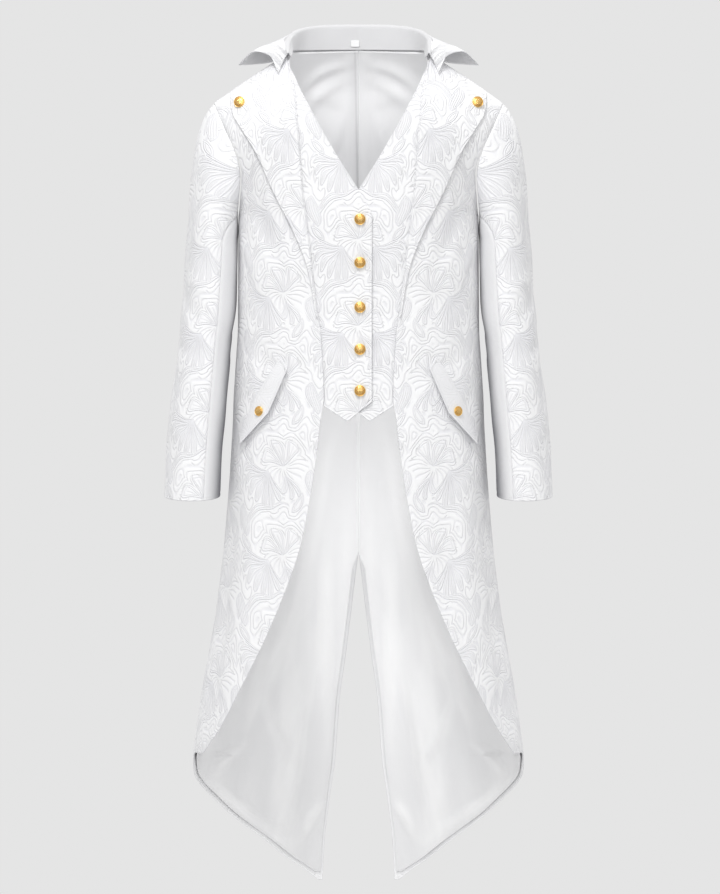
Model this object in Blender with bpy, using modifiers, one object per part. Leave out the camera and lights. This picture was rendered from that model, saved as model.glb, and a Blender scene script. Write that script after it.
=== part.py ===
"""White brocade cutaway tailcoat with waistcoat fronts sewn into it.

The coat keeps the hollow form it has on a wearer. Units are metres, +Z is up, -Y is the
front and +X is the coat's left side, on the right of the picture. The origin lies midway
between the shoulders, at the height where the shoulders carry the coat.

Every panel is cut from one torso surface: an angle runs round the body from the side seam
(0) to the centre front (+90 degrees) or the centre back (-90 degrees), a height runs up it.
"""
import math
from collections import namedtuple

import bmesh
import bpy
import numpy as np
from mathutils import Matrix, Vector

# Cloth walls and the clearances between them
CLOTH = 0.0016
LINING = 0.0012
COLLAR = 0.0018
SEAM = 0.0003
LAYER = 0.0009
WAISTCOAT_GAP = 0.0021
LINING_SHORT = 0.009
TAIL_EASE = 0.0020
LAPEL_SPRING = 0.0012
LAPEL_BELOW_SEAM = 0.0055
LAPEL_FOLD_TURN = 0.006

# Heights that set the cut
ARMPIT = -0.235
SHOULDER_TIP = -0.059
NECK_BACK = 0.024
NECK_SIDE = 0.1045
CORNER = -1.0660
TAIL_TIP = -1.2650
VENT_TOP = -0.755
LAPEL_FOOT = -0.392
CUFF = -0.668

# Roundness of the torso's sections and of the shoulders
SQUARENESS = 2.3
ROLL = 0.130
ROLL_POWER = 2.2

# Soft flutes of the hanging tails
FLUTES = 5.0
FLUTE_DEPTH = 0.006
FLUTE_START = -0.62
FLUTE_FULL = -1.05

# Waistcoat
LAP = 0.0209
LAP_CREST = 0.022
LAP_END = 0.050
UNDER_COAT_LOW = 0.090
UNDER_COAT_HIGH = 0.134
BUTTON_COLUMN = 0.0022
WAISTCOAT_BUTTONS = (-0.240, -0.307, -0.376, -0.441, -0.505)

# Buttons
BUTTON_RADIUS = 0.0088
SMALL_BUTTON_RADIUS = 0.0078
BUTTON_HEIGHT = 0.0052

# The lapel's top corner is buttoned back here, across and up
SHOULDER_BUTTON = (0.1815, -0.0605)
FLAP_BUTTON = (0.1490, -0.5370)
FLAP_BUTTON_LIFT = 0.0046

# Blank neck label
LABEL = (0.014, 0.0008, 0.011)
LABEL_HEIGHT = 0.0345
LABEL_SIDE = -0.0054
LABEL_TURN = 4.0
LABEL_CLEAR = 0.00105


def table(columns, *rows):
    """Name the columns of a short table whose rows are sorted by the first one."""
    columns = columns.split()
    data = np.array(sorted(rows), dtype=float).T
    return namedtuple("Table", columns)(*data)


# Half width, and depth to the front and to the back, at each height of the torso
TORSO = table(
    "height width front back",
    (-1.270, 0.2660, 0.150, 0.150),
    (-1.060, 0.2534, 0.145, 0.145),
    (-0.959, 0.2395, 0.140, 0.141),
    (-0.860, 0.2225, 0.135, 0.136),
    (-0.753, 0.2095, 0.130, 0.131),
    (-0.628, 0.1990, 0.126, 0.127),
    (-0.493, 0.1905, 0.120, 0.119),
    (-0.383, 0.1865, 0.119, 0.113),
    (-0.235, 0.1860, 0.127, 0.118),
    (-0.210, 0.1900, 0.128, 0.119),
    (-0.170, 0.2030, 0.128, 0.119),
    (-0.130, 0.2220, 0.127, 0.118),
    (-0.090, 0.2360, 0.126, 0.116),
    (-0.050, 0.2420, 0.124, 0.115),
    (0.060, 0.2450, 0.122, 0.114),
)

# Top of the shoulders, across the body
SHOULDER = table(
    "across height",
    (-0.050, 0.050), (0.000, 0.058), (0.050, 0.050), (0.090, 0.030), (0.109, 0.018),
    (0.145, -0.0047), (0.185, -0.0315), (0.224, -0.059), (0.260, -0.086),
)

# Armhole seam, seen from the front
ARMHOLE = table(
    "height across",
    (-0.235, 0.1860), (-0.210, 0.1838), (-0.170, 0.1812), (-0.136, 0.1900),
    (-0.102, 0.2054), (-0.059, 0.2240),
)

# Front edge: the lapel's fold, the straight front and the cutaway sweep
FRONT_EDGE = table(
    "height across",
    (0.021, 0.1045), (0.008, 0.1072), (0.000, 0.1066), (-0.040, 0.0984),
    (-0.115, 0.0920), (-0.191, 0.0860), (-0.253, 0.0780), (-0.361, 0.0660),
    (-0.426, 0.0575), (-0.516, 0.0535), (-0.5425, 0.0570), (-0.637, 0.0690),
    (-0.702, 0.0800), (-0.747, 0.0896), (-0.798, 0.1060), (-0.896, 0.1450),
    (-0.973, 0.1840), (-1.0215, 0.2125), (-1.049, 0.2340), (-1.066, 0.2470),
)

# Outer edge of the lapel, up to the corner that is buttoned to the shoulder
LAPEL_EDGE = table(
    "height across",
    (-0.392, 0.0655), (-0.361, 0.0700), (-0.315, 0.0790), (-0.265, 0.0975),
    (-0.206, 0.1265), (-0.188, 0.1350), (-0.140, 0.1560), (-0.100, 0.1800),
    (-0.078, 0.1930), (-0.060, 0.1960), (-0.030, 0.1950),
)

# Hem of a tail from the side seam's foot to its point, and the edge of the centre vent
HEM = table(
    "height across",
    (-1.265, 0.0620), (-1.249, 0.0830), (-1.231, 0.1110), (-1.203, 0.1480),
    (-1.180, 0.1800), (-1.159, 0.2050), (-1.127, 0.2325), (-1.111, 0.2440),
    (-1.097, 0.2505), (-1.066, 0.2535),
)
VENT = table(
    "height across",
    (-1.265, 0.0555), (-1.209, 0.0525), (-1.135, 0.0440), (-1.079, 0.0360),
    (-0.984, 0.0290), (-0.910, 0.0190), (-0.832, 0.0095), (-0.755, 0.0002),
)

# Waistcoat front that laps over, across from its lap edge to under the coat
V_NECK = table(
    "across height",
    (-0.0209, -0.2310), (-0.0023, -0.1980), (0.0318, -0.1440), (0.0580, -0.0990),
    (0.0984, -0.0230), (0.1100, 0.0020), (0.1400, -0.0120),
)
POINTS = table(
    "across height",
    (-0.0209, -0.5220), (0.0170, -0.5530), (0.0566, -0.5275), (0.1000, -0.4950),
)

# The pocket flap: its sewn edge and its pointed free edge, from the inner end outwards
FLAP = table(
    "station seam_across seam_height free_across free_height",
    (0.0, 0.1200, -0.4520, 0.1065, -0.4710),
    (0.5, 0.1510, -0.5010, 0.1350, -0.5400),
    (1.0, 0.1845, -0.5720, 0.1760, -0.5880),
)
FLAP_STAND = 0.006
FLAP_LIFT = 0.0004

# Sleeve below the armhole: outer and inner side seen from the front, depth and lean
SLEEVE = table(
    "height outer inner depth forward",
    (-0.690, 0.3025, 0.2152, 0.046, -0.036),
    (-0.600, 0.2970, 0.2105, 0.049, -0.026),
    (-0.538, 0.2915, 0.2054, 0.052, -0.020),
    (-0.425, 0.2800, 0.1960, 0.057, -0.011),
    (-0.383, 0.2758, 0.1918, 0.059, -0.008),
    (-0.310, 0.2690, 0.1890, 0.062, -0.004),
    (-0.270, 0.2650, 0.1888, 0.064, -0.003),
)
SLEEVE_HEAD = -0.270
CUFF_DIP = 0.008
SLEEVE_SEAM = 0.0012
SLEEVE_RADIUS = 0.045

# Collar: neck seam, roll and free edge, from the centre back to the front end
COLLAR_LINE = table(
    "station seam_x seam_y seam_z roll_x roll_y roll_z edge_x edge_y edge_z fold bulge",
    (0.00, 0.0000, 0.0825, 0.0246, 0.0000, 0.0875, 0.0595, 0.0000, 0.0985, 0.0200, 0.0030, 0.006),
    (0.20, 0.0450, 0.0760, 0.0242, 0.0450, 0.0820, 0.0588, 0.0550, 0.0950, 0.0150, 0.0030, 0.006),
    (0.40, 0.0800, 0.0570, 0.0233, 0.0790, 0.0660, 0.0555, 0.1080, 0.0800, 0.0090, 0.0030, 0.008),
    (0.55, 0.0940, 0.0360, 0.0228, 0.0980, 0.0420, 0.0490, 0.1520, 0.0520, 0.0020, 0.0030, 0.010),
    (0.70, 0.1020, 0.0020, 0.0222, 0.1080, 0.0080, 0.0395, 0.1855, 0.0050, -0.0010, 0.0030, 0.012),
    (0.80, 0.1030, -0.0180, 0.0205, 0.1100, -0.0140, 0.0340, 0.1610, -0.0300, 0.0195, 0.0028, 0.008),
    (0.90, 0.1040, -0.0390, 0.0160, 0.1100, -0.0380, 0.0240, 0.1380, -0.0560, 0.0130, 0.0024, 0.006),
    (1.00, 0.1052, -0.0575, 0.0105, 0.1090, -0.0620, 0.0150, 0.1235, -0.0800, -0.0155, 0.0018, 0.003),
)
COLLAR_STATIONS = 11
COLLAR_BULGE_UP = 0.8
COLLAR_BULGE_OUT = 0.6


def slopes(x, y):
    """Slopes of a smooth curve through the points that never overshoots them."""
    step = np.diff(y) / np.diff(x)
    before, after = step[:-1], step[1:]
    total = np.where(before + after == 0, 1, before + after)
    inner = np.where(before * after > 0, 2 * before * after / total, 0)
    return np.concatenate(([step[0]], inner, [step[-1]]))


def along(rows, column, at):
    """Read a column of a table at any value of its first column, smoothly."""
    x, y = rows[0], getattr(rows, column)
    slope = slopes(x, y)
    at = np.clip(np.asarray(at, dtype=float), x[0], x[-1])
    i = np.clip(np.searchsorted(x, at) - 1, 0, len(x) - 2)
    span = x[i + 1] - x[i]
    t = (at - x[i]) / span
    return ((1 + 2 * t) * (1 - t) ** 2 * y[i] + t * (1 - t) ** 2 * span * slope[i]
            + t * t * (3 - 2 * t) * y[i + 1] + t * t * (t - 1) * span * slope[i + 1])


def smooth_step(low, high, value):
    """Rise from 0 at low to 1 at high without corners."""
    t = np.clip((value - low) / (high - low), 0, 1)
    return t * t * (3 - 2 * t)


def mix(start, end, share):
    """Blend from start to end."""
    return start + (end - start) * share


def stations(count, seams=True):
    """Return shares from 0 to 1, with a narrow first and last step along sewn edges."""
    even = np.linspace(0, 1, count)
    return np.sort(np.concatenate((even, (0.012, 0.988)))) if seams else even


def shoulder_roll(across, height):
    """Shrink the torso's depth from 1 below the shoulders to 0 on the shoulder line."""
    top = along(SHOULDER, "height", np.abs(across))
    rise = np.clip((height - top + ROLL) / ROLL, 0, 1)
    return (1 - rise ** ROLL_POWER) ** (1 / ROLL_POWER)


def flute(angle, height):
    """Move a tail's cloth in and out by this much, in soft flutes that grow downwards."""
    grow = smooth_step(-FLUTE_START, -FLUTE_FULL, -height)
    return FLUTE_DEPTH * grow * np.cos(FLUTES * (angle + math.pi / 2))


def torso(angle, height):
    """Torso surface: a squared ellipse at each height, rolled in over the shoulders."""
    cos, sin = np.cos(angle), np.sin(angle)
    across = along(TORSO, "width", height) * np.clip(cos, 0, 1) ** (2 / SQUARENESS)
    depth = np.where(sin > 0, along(TORSO, "front", height), along(TORSO, "back", height))
    forward = depth * np.abs(sin) ** (2 / SQUARENESS) * np.sign(sin)
    forward = forward * shoulder_roll(across, height)
    wave = flute(angle, height)
    return np.stack((across + wave * cos, -forward - wave * sin, height + 0 * angle), axis=-1)


def angle_at(across, height):
    """Angle round the torso at which its surface lies this far across."""
    ratio = np.clip(across / along(TORSO, "width", height), 0, 1)
    return np.arccos(ratio ** (SQUARENESS / 2))


def front_at(across, height):
    """Point of the torso's front, straight behind a place seen from the front."""
    point = torso(angle_at(np.abs(across), height), height)
    point[..., 0] = across
    return point


def normals(grid):
    """Unit normals of a grid of points, by differences along its rows and columns."""
    up, along_row = np.gradient(grid, axis=0), np.gradient(grid, axis=1)
    normal = np.cross(up, along_row)
    return normal / np.maximum(np.linalg.norm(normal, axis=-1, keepdims=True), 1e-9)


def raised(grid, distance):
    """Move a grid of points outwards, away from the torso's middle."""
    normal = normals(grid)
    middle = np.array((0.0, 0.0, -0.25))
    outward = np.sign(np.sum(normal * (grid - middle), axis=-1, keepdims=True).mean())
    return grid + normal * outward * np.asarray(distance)[..., None]


def clear_of_seams(grid, face):
    """Keep a panel half a seam's gap from the side plane and from the centre plane."""
    grid[..., 1] = face * np.maximum(face * grid[..., 1], SEAM / 2)
    grid[..., 0] = np.maximum(grid[..., 0], SEAM / 2)
    return grid


def upper_rows():
    """Shares of the height above the armpit, evenly spaced round the shoulder's roll."""
    turn = np.radians((18, 36, 52, 66, 77, 86, 90))
    straight = 0.4
    return np.append((0.2, straight), mix(straight, 1, np.sin(turn) ** (2 / ROLL_POWER)))


def settle(edge, top, share, base):
    """Find a point on an edge, at this share of the way from a base height to its top."""
    height = np.full_like(share, base)
    for _ in range(20):
        across = along(edge, "across", height)
        height = mix(base, top(across), share)
    return angle_at(across, height)


def patch(outer, inner, top, base, shares, columns):
    """Grid between two edges, whose rows rise from a level base to a sloping top."""
    u, v = np.meshgrid(columns, shares)
    angle = mix(outer[:, None], inner[:, None], u)
    height = np.full_like(u, base)
    for _ in range(20):
        across = torso(angle, height)[..., 0]
        height = mix(base, top(across), v)
    return angle, height


def shoulder_top(across):
    """Height of the shoulder seam."""
    return along(SHOULDER, "height", across)


def back_top(across):
    """Height of a back panel's upper edge: the shoulder seam, then the neckline."""
    neck = mix(NECK_BACK, along(SHOULDER, "height", NECK_SIDE), across / NECK_SIDE)
    return np.where(across < NECK_SIDE, neck, along(SHOULDER, "height", across))


def front_grid():
    """Front panel, from the side seam and armhole to the front edge."""
    columns = stations(8)
    heights = np.concatenate((np.linspace(CORNER, -0.98, 4), np.linspace(-0.94, ARMPIT, 15)))
    inner = angle_at(along(FRONT_EDGE, "across", heights), heights)
    low_angle = inner[:, None] * columns
    low = torso(low_angle, heights[:, None] + 0 * low_angle)
    shares = upper_rows()
    angle, height = patch(settle(ARMHOLE, shoulder_top, shares, ARMPIT),
                          settle(FRONT_EDGE, shoulder_top, shares, ARMPIT),
                          shoulder_top, ARMPIT, shares, columns)
    return clear_of_seams(np.concatenate((low, torso(angle, height))), -1)


def back_heights():
    """Heights of the rows of a back panel, from the tail's point to the armpit."""
    return np.concatenate((np.linspace(TAIL_TIP, CORNER, 7), np.linspace(-0.99, VENT_TOP, 4),
                           np.linspace(-0.68, ARMPIT, 8)))


def back_grid():
    """Half of the back, from the side seam, armhole and hem to the centre seam and vent."""
    columns = stations(8)
    heights = back_heights()
    outer = np.where(heights > CORNER, 0, -angle_at(along(HEM, "across", heights), heights))
    vent = angle_at(along(VENT, "across", heights), heights)
    inner = -np.where(heights < VENT_TOP - 0.001, vent, math.pi / 2)
    low_angle = mix(outer[:, None], inner[:, None], columns)
    low = torso(low_angle, heights[:, None] + 0 * low_angle)
    shares = upper_rows()
    angle, height = patch(-settle(ARMHOLE, back_top, shares, ARMPIT),
                          np.full_like(shares, -math.pi / 2), back_top, ARMPIT, shares, columns)
    return clear_of_seams(np.concatenate((low, torso(angle, height))), 1)


def slide(edge, neighbour, distance):
    """Slide the points of an edge towards their neighbours, by at most most of the way."""
    gap = np.linalg.norm(neighbour - edge, axis=-1, keepdims=True)
    return edge + (neighbour - edge) * np.minimum(np.asarray(distance) / gap, 0.7)


def lining_grid():
    """Half of the back's lining: the back's own points moved in, a little shorter all round."""
    grid = back_grid()
    ease = TAIL_EASE * smooth_step(0.8, 1.05, -grid[..., 2])
    grid = np.delete(raised(grid, -(CLOTH + LAYER + ease)), (1, -2), axis=1)
    tail = back_heights() < CORNER + 0.001
    rows = np.flatnonzero(tail)
    grid[rows, 0] = slide(grid[rows, 0], grid[rows, 1], LINING_SHORT)
    rows = np.flatnonzero(back_heights() < VENT_TOP)
    grid[rows, -1] = slide(grid[rows, -1], grid[rows, -2], LINING_SHORT / 3)
    grid[0] = slide(grid[0], grid[1], LINING_SHORT * 1.2)
    grid[..., 0] = np.maximum(grid[..., 0], SEAM / 2)
    return grid


def lapel_grid():
    """Lapel, folded back flat on the front, up to the corner buttoned to the shoulder."""
    def top(across):
        return shoulder_top(across) - LAPEL_BELOW_SEAM
    shares = 1 - (1 - np.linspace(0, 1, 15)) ** 1.3
    angle, height = patch(settle(LAPEL_EDGE, top, shares, LAPEL_FOOT),
                          settle(FRONT_EDGE, top, shares, LAPEL_FOOT) - LAPEL_FOLD_TURN,
                          top, LAPEL_FOOT, shares, stations(7, seams=False))
    lift = LAYER + LAPEL_SPRING * smooth_step(-0.08, -0.01, height)
    return raised(torso(angle, height), CLOTH + lift)


def waistcoat_grid(lap):
    """Waistcoat front seen as if on +X; the one beneath dips inwards where it is lapped."""
    u, v = np.meshgrid(stations(8, seams=False), 1 - (1 - np.linspace(0, 1, 15)) ** 1.25)
    across = mix(-LAP, mix(UNDER_COAT_LOW, UNDER_COAT_HIGH, v), u)
    height = mix(along(POINTS, "height", across), along(V_NECK, "height", across), v)
    depth = CLOTH + WAISTCOAT_GAP
    if not lap:
        depth = depth + (CLOTH + LAYER) * (1 - smooth_step(LAP_CREST, LAP_END, across))
    return raised(front_at(across, height), -depth + 0 * across)


def armhole_ring(turn):
    """Armhole as a closed ring; turn is 0 on the shoulder, 90 in front, 180 at the armpit."""
    middle, half = (SHOULDER_TIP + ARMPIT) / 2, (SHOULDER_TIP - ARMPIT) / 2
    height = middle + half * np.cos(turn)
    across = along(ARMHOLE, "across", height)
    face = np.where(np.sin(turn) >= 0, 1.0, -1.0)
    return torso(face * angle_at(across, height), height)


def sleeve_ring(turn, height):
    """Ring round the sleeve below its head, an ellipse whose front dips at the cuff."""
    outer, inner = along(SLEEVE, "outer", height), along(SLEEVE, "inner", height)
    dip = CUFF_DIP * smooth_step(-0.55, CUFF, height) * np.sin(turn)
    return np.stack(((outer + inner) / 2 + (outer - inner) / 2 * np.cos(turn),
                     along(SLEEVE, "forward", height) - along(SLEEVE, "depth", height) * np.sin(turn),
                     height - dip), axis=-1)


def sleeve_point(turn, run):
    """Sleeve surface: run is 0 to 1 over the eased head, then 1 to 2 down to the cuff."""
    start, end = armhole_ring(turn), sleeve_ring(turn, SLEEVE_HEAD)
    top = (1 + np.cos(turn)) / 2
    leave = np.stack((mix(0.15, 0.62, top), 0 * top, mix(-0.99, -0.78, top)), axis=-1)
    arrive = np.array((0.10, 0.0, -0.995))
    start = start + leave * SLEEVE_SEAM + np.array((SLEEVE_SEAM, 0, 0)) * (1 - top[..., None])
    reach = mix(0.012, 0.062, top)[..., None]
    t = np.clip(run, 0, 1)[..., None]
    head = ((1 - t) ** 3 * start + 3 * t * (1 - t) ** 2 * (start + leave * reach)
            + 3 * t * t * (1 - t) * (end - arrive * reach * 1.3) + t ** 3 * end)
    tube = sleeve_ring(turn, mix(SLEEVE_HEAD, CUFF, np.clip(run - 1, 0, 1)))
    return np.where(run[..., None] <= 1, head, tube)


def sleeve_grid(under):
    """Upper or under sleeve, between the seams that run down its front and its back."""
    runs = np.concatenate((np.linspace(0, 1, 8), np.linspace(1, 2, 9)[1:]))
    settled = smooth_step(0, 1.2, runs)
    front = math.pi - np.radians(mix(25, 65, settled))
    back = math.pi + np.radians(mix(35, 75, settled))
    start, end = (front, back) if under else (back - 2 * math.pi, front)
    slit = SEAM / 2 / SLEEVE_RADIUS
    columns = stations(6 if under else 10)
    turn = mix((start + slit)[:, None], (end - slit)[:, None], columns)
    return sleeve_point(turn, runs[:, None] + 0 * turn)


def collar_grid():
    """Collar from the neck seam up the stand, over the roll and down to the free edge."""
    half = np.linspace(0, 1, COLLAR_STATIONS)
    line = {name: along(COLLAR_LINE, name, half) for name in COLLAR_LINE._fields}

    def point(kind):
        return np.stack([line[kind + "_" + axis] for axis in "xyz"], axis=-1)

    seam, roll, edge = point("seam"), point("roll"), point("edge")
    outward = (edge - seam) * np.array((1, 1, 0))
    outward = outward / np.linalg.norm(outward, axis=-1, keepdims=True)
    fold, up = line["fold"][:, None], np.array((0.0, 0.0, 1.0))
    inner, outer = roll - outward * fold, roll + outward * fold
    rows = [mix(seam, inner, share) for share in (0, 0.5, 1)]
    rows += [roll + (up * math.sin(a) - outward * math.cos(a)) * fold for a in (1.0, 2.14)]
    bulge = (up * COLLAR_BULGE_UP + outward * COLLAR_BULGE_OUT) * line["bulge"][:, None]
    lift = (outer + edge) / 2 + bulge
    for t in (0, 0.3, 0.6, 0.85, 1.0):
        rows.append((1 - t) ** 2 * outer + 2 * t * (1 - t) * lift + t * t * edge)
    right = np.stack(rows)
    left = right[:, :0:-1] * np.array((-1, 1, 1))
    return np.concatenate((left, right), axis=1)


def flap_grid():
    """Pocket flap, sewn down along its upper edge and standing out at its free edge."""
    u, v = np.meshgrid(np.linspace(0, 1, 7), np.array((0, 0.3, 0.65, 1.0)))
    across = mix(along(FLAP, "seam_across", u), np.interp(u, FLAP.station, FLAP.free_across), v)
    height = mix(along(FLAP, "seam_height", u), np.interp(u, FLAP.station, FLAP.free_height), v)
    return raised(front_at(across, height), CLOTH + FLAP_LIFT + FLAP_STAND * v ** 1.5)


def cloth_material(name, colour, roughness, sheen=0.0, metallic=0.0):
    """Principled material of one sub-part."""
    material = bpy.data.materials.new(name)
    material.use_nodes = True
    shader = material.node_tree.nodes["Principled BSDF"]
    shader.inputs["Base Color"].default_value = (*colour, 1)
    shader.inputs["Roughness"].default_value = roughness
    shader.inputs["Metallic"].default_value = metallic
    shader.inputs["Sheen Weight"].default_value = sheen
    material.diffuse_color = (*colour, 1)
    return material


def finish(mesh, name, collection, material):
    """Put a mesh in the coat's collection as one named sub-part, shaded smooth."""
    mesh.name = name
    mesh.materials.append(material)
    mesh.shade_smooth()
    mesh.set_sharp_from_angle(angle=math.radians(50))
    piece = bpy.data.objects.new(name, mesh)
    collection.objects.link(piece)
    return piece


def panel(name, grid, thickness, collection, material, mirror=False):
    """Make a wall of cloth: an open grid of faces, given its thickness by Solidify."""
    if mirror:
        grid = grid[:, ::-1] * np.array((-1, 1, 1))
    rows, columns = grid.shape[:2]
    index = np.arange(rows * columns).reshape(rows, columns)
    quads = np.stack((index[:-1, :-1], index[:-1, 1:], index[1:, 1:], index[1:, :-1]), axis=-1)
    mesh = bpy.data.meshes.new(name)
    mesh.from_pydata(grid.reshape(-1, 3).tolist(), [], quads.reshape(-1, 4).tolist())
    piece = finish(mesh, name, collection, material)
    wall = piece.modifiers.new("Cloth thickness", "SOLIDIFY")
    wall.thickness = abs(thickness)
    wall.offset = math.copysign(1, thickness)
    return piece


def button(name, radius, place, facing, collection, material):
    """Domed metal button: a turned profile with a rim, a domed face and a short shank."""
    shank, rim, height = radius * 0.45, radius * 0.14, BUTTON_HEIGHT
    profile = [(0, height), (radius * 0.45, height * 0.93), (radius * 0.80, height * 0.72),
               (radius * 0.97, height * 0.60), (radius, height * 0.45),
               (radius - rim, height * 0.30), (shank, height * 0.30), (shank, 0), (0, 0)]
    mesh = bpy.data.meshes.new(name)
    mesh.from_pydata([(x, 0, z) for x, z in profile], [],
                     [(i, i + 1) for i in range(len(profile) - 1)])
    piece = finish(mesh, name, collection, material)
    turn = piece.modifiers.new("Turned profile", "SCREW")
    turn.steps = turn.render_steps = 16
    turn.use_normal_flip = True
    turn.use_merge_vertices = True
    turn.merge_threshold = 0.0001
    tilt = Vector((0, 0, 1)).rotation_difference(Vector(facing)).to_matrix().to_4x4()
    piece.matrix_world = Matrix.Translation(Vector(place)) @ tilt
    return piece


def seat(across, height, lift):
    """Place and facing of a button on the front, this far above the torso surface."""
    step = 0.004
    u, v = np.meshgrid(across + np.array((-step, 0, step)), height + np.array((-step, 0, step)))
    grid = front_at(u, v)
    normal = normals(grid)[1, 1]
    normal = normal * -np.sign(normal[1])
    return grid[1, 1] + normal * lift, normal


def clear_scene():
    """Remove the objects that the file opened with."""
    for thing in list(bpy.data.objects):
        bpy.data.objects.remove(thing, do_unlink=True)


def pair(name, grid, thickness, collection, material):
    """Make a panel and its mirror image as two sub-parts."""
    panel(name + "_left", grid, thickness, collection, material)
    panel(name + "_right", grid, thickness, collection, material, mirror=True)


def body(collection):
    """Fronts, backs, back lining, lapels and pocket flaps."""
    brocade = cloth_material("brocade", (0.80, 0.80, 0.82), 0.55, 0.3)
    satin = cloth_material("lining satin", (0.74, 0.74, 0.75), 0.40, 0.2)
    pair("front", front_grid(), CLOTH, collection, brocade)
    pair("back", back_grid(), -CLOTH, collection, brocade)
    pair("lining", lining_grid(), -LINING, collection, satin)
    pair("lapel", lapel_grid(), CLOTH, collection, brocade)
    pair("pocket_flap", flap_grid(), CLOTH, collection, brocade)


def waistcoat(collection):
    """The two waistcoat fronts; the wearer's right one laps over the left one."""
    brocade = cloth_material("waistcoat brocade", (0.80, 0.80, 0.82), 0.55, 0.3)
    panel("waistcoat_right", waistcoat_grid(True), -CLOTH, collection, brocade, mirror=True)
    panel("waistcoat_left", waistcoat_grid(False), -CLOTH, collection, brocade)


def sleeves(collection):
    """Two-piece sleeves."""
    brocade = cloth_material("sleeve brocade", (0.80, 0.80, 0.82), 0.55, 0.3)
    pair("upper_sleeve", sleeve_grid(False), -CLOTH, collection, brocade)
    pair("under_sleeve", sleeve_grid(True), -CLOTH, collection, brocade)


def buttons(collection):
    """Gold buttons on the waistcoat, the lapels' corners and the pocket flaps."""
    gold = cloth_material("gold metal", (0.83, 0.58, 0.20), 0.28, 0.0, 1.0)
    below = -(CLOTH + WAISTCOAT_GAP)
    for number, height in enumerate(WAISTCOAT_BUTTONS, 1):
        place, facing = seat(BUTTON_COLUMN, height, below + SEAM)
        button(f"waistcoat_button_{number}", BUTTON_RADIUS, place, facing, collection, gold)
    for side, name in ((1, "left"), (-1, "right")):
        across, height = SHOULDER_BUTTON
        place, facing = seat(side * across, height, CLOTH + LAYER + SEAM)
        button(f"shoulder_button_{name}", BUTTON_RADIUS, place, facing, collection, gold)
        across, height = FLAP_BUTTON
        place, facing = seat(side * across, height, CLOTH + FLAP_BUTTON_LIFT)
        button(f"flap_button_{name}", SMALL_BUTTON_RADIUS, place, facing, collection, gold)


def label(collection):
    """Blank tag sewn inside the collar's stand at the centre back."""
    white = cloth_material("label tape", (0.85, 0.85, 0.85), 0.6)
    cube = bmesh.new()
    bmesh.ops.create_cube(cube, size=1)
    bmesh.ops.scale(cube, vec=LABEL, verts=cube.verts)
    mesh = bpy.data.meshes.new("neck_label")
    cube.to_mesh(mesh)
    cube.free()
    piece = finish(mesh, "neck_label", collection, white)
    foot, head = COLLAR_LINE.seam_y[0], COLLAR_LINE.roll_y[0] - COLLAR_LINE.fold[0]
    lean = (head - foot) / (COLLAR_LINE.roll_z[0] - COLLAR_LINE.seam_z[0])
    stand = foot + lean * (LABEL_HEIGHT - COLLAR_LINE.seam_z[0]) - COLLAR
    back = stand + LABEL_SIDE * math.tan(math.radians(LABEL_TURN)) - LABEL[1] / 2 - LABEL_CLEAR
    piece.location = (LABEL_SIDE, back, LABEL_HEIGHT)
    piece.rotation_euler = (-math.atan(lean), 0, math.radians(LABEL_TURN))


def main():
    """Build the coat."""
    clear_scene()
    collection = bpy.data.collections.new("Brocade tailcoat")
    bpy.context.scene.collection.children.link(collection)
    body(collection)
    waistcoat(collection)
    sleeves(collection)
    panel("collar", collar_grid(), COLLAR, collection,
          cloth_material("collar brocade", (0.82, 0.82, 0.84), 0.55, 0.3))
    buttons(collection)
    label(collection)


main()
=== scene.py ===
"""Looks of a white brocade tailcoat with waistcoat fronts sewn into it.

Units are metres, +Z is up, -Y is the front and +X is the coat's left side, on the right of
the picture. Every panel is a thin wall of cloth worked out as whole arrays on the same torso,
sleeve and collar surfaces as its solid, with its turned edges, seams and creases added.
"""
from __future__ import annotations

import logging
import math
from collections.abc import Callable, Sequence
from dataclasses import dataclass, field
from enum import Enum
from functools import partial, reduce
from typing import NamedTuple

import bpy
import numpy as np
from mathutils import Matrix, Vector


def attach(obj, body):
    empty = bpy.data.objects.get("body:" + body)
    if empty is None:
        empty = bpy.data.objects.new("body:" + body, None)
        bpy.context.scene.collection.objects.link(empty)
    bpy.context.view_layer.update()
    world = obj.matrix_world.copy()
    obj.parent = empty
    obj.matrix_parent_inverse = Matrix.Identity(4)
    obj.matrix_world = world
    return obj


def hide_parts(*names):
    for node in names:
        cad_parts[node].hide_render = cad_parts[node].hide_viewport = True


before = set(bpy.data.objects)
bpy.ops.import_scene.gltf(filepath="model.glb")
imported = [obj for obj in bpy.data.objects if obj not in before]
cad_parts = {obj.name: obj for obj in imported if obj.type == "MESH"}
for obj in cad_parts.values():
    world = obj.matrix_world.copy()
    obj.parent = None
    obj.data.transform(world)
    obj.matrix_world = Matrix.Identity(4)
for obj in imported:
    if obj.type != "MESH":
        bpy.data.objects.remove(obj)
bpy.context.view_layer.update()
LOG = logging.getLogger("tailcoat")

Array = np.ndarray
Numbers = Array | float
Pair = tuple[float, float]
Triple = tuple[float, float, float]
Colour = tuple[float, float, float, float]
Material = bpy.types.Material


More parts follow.
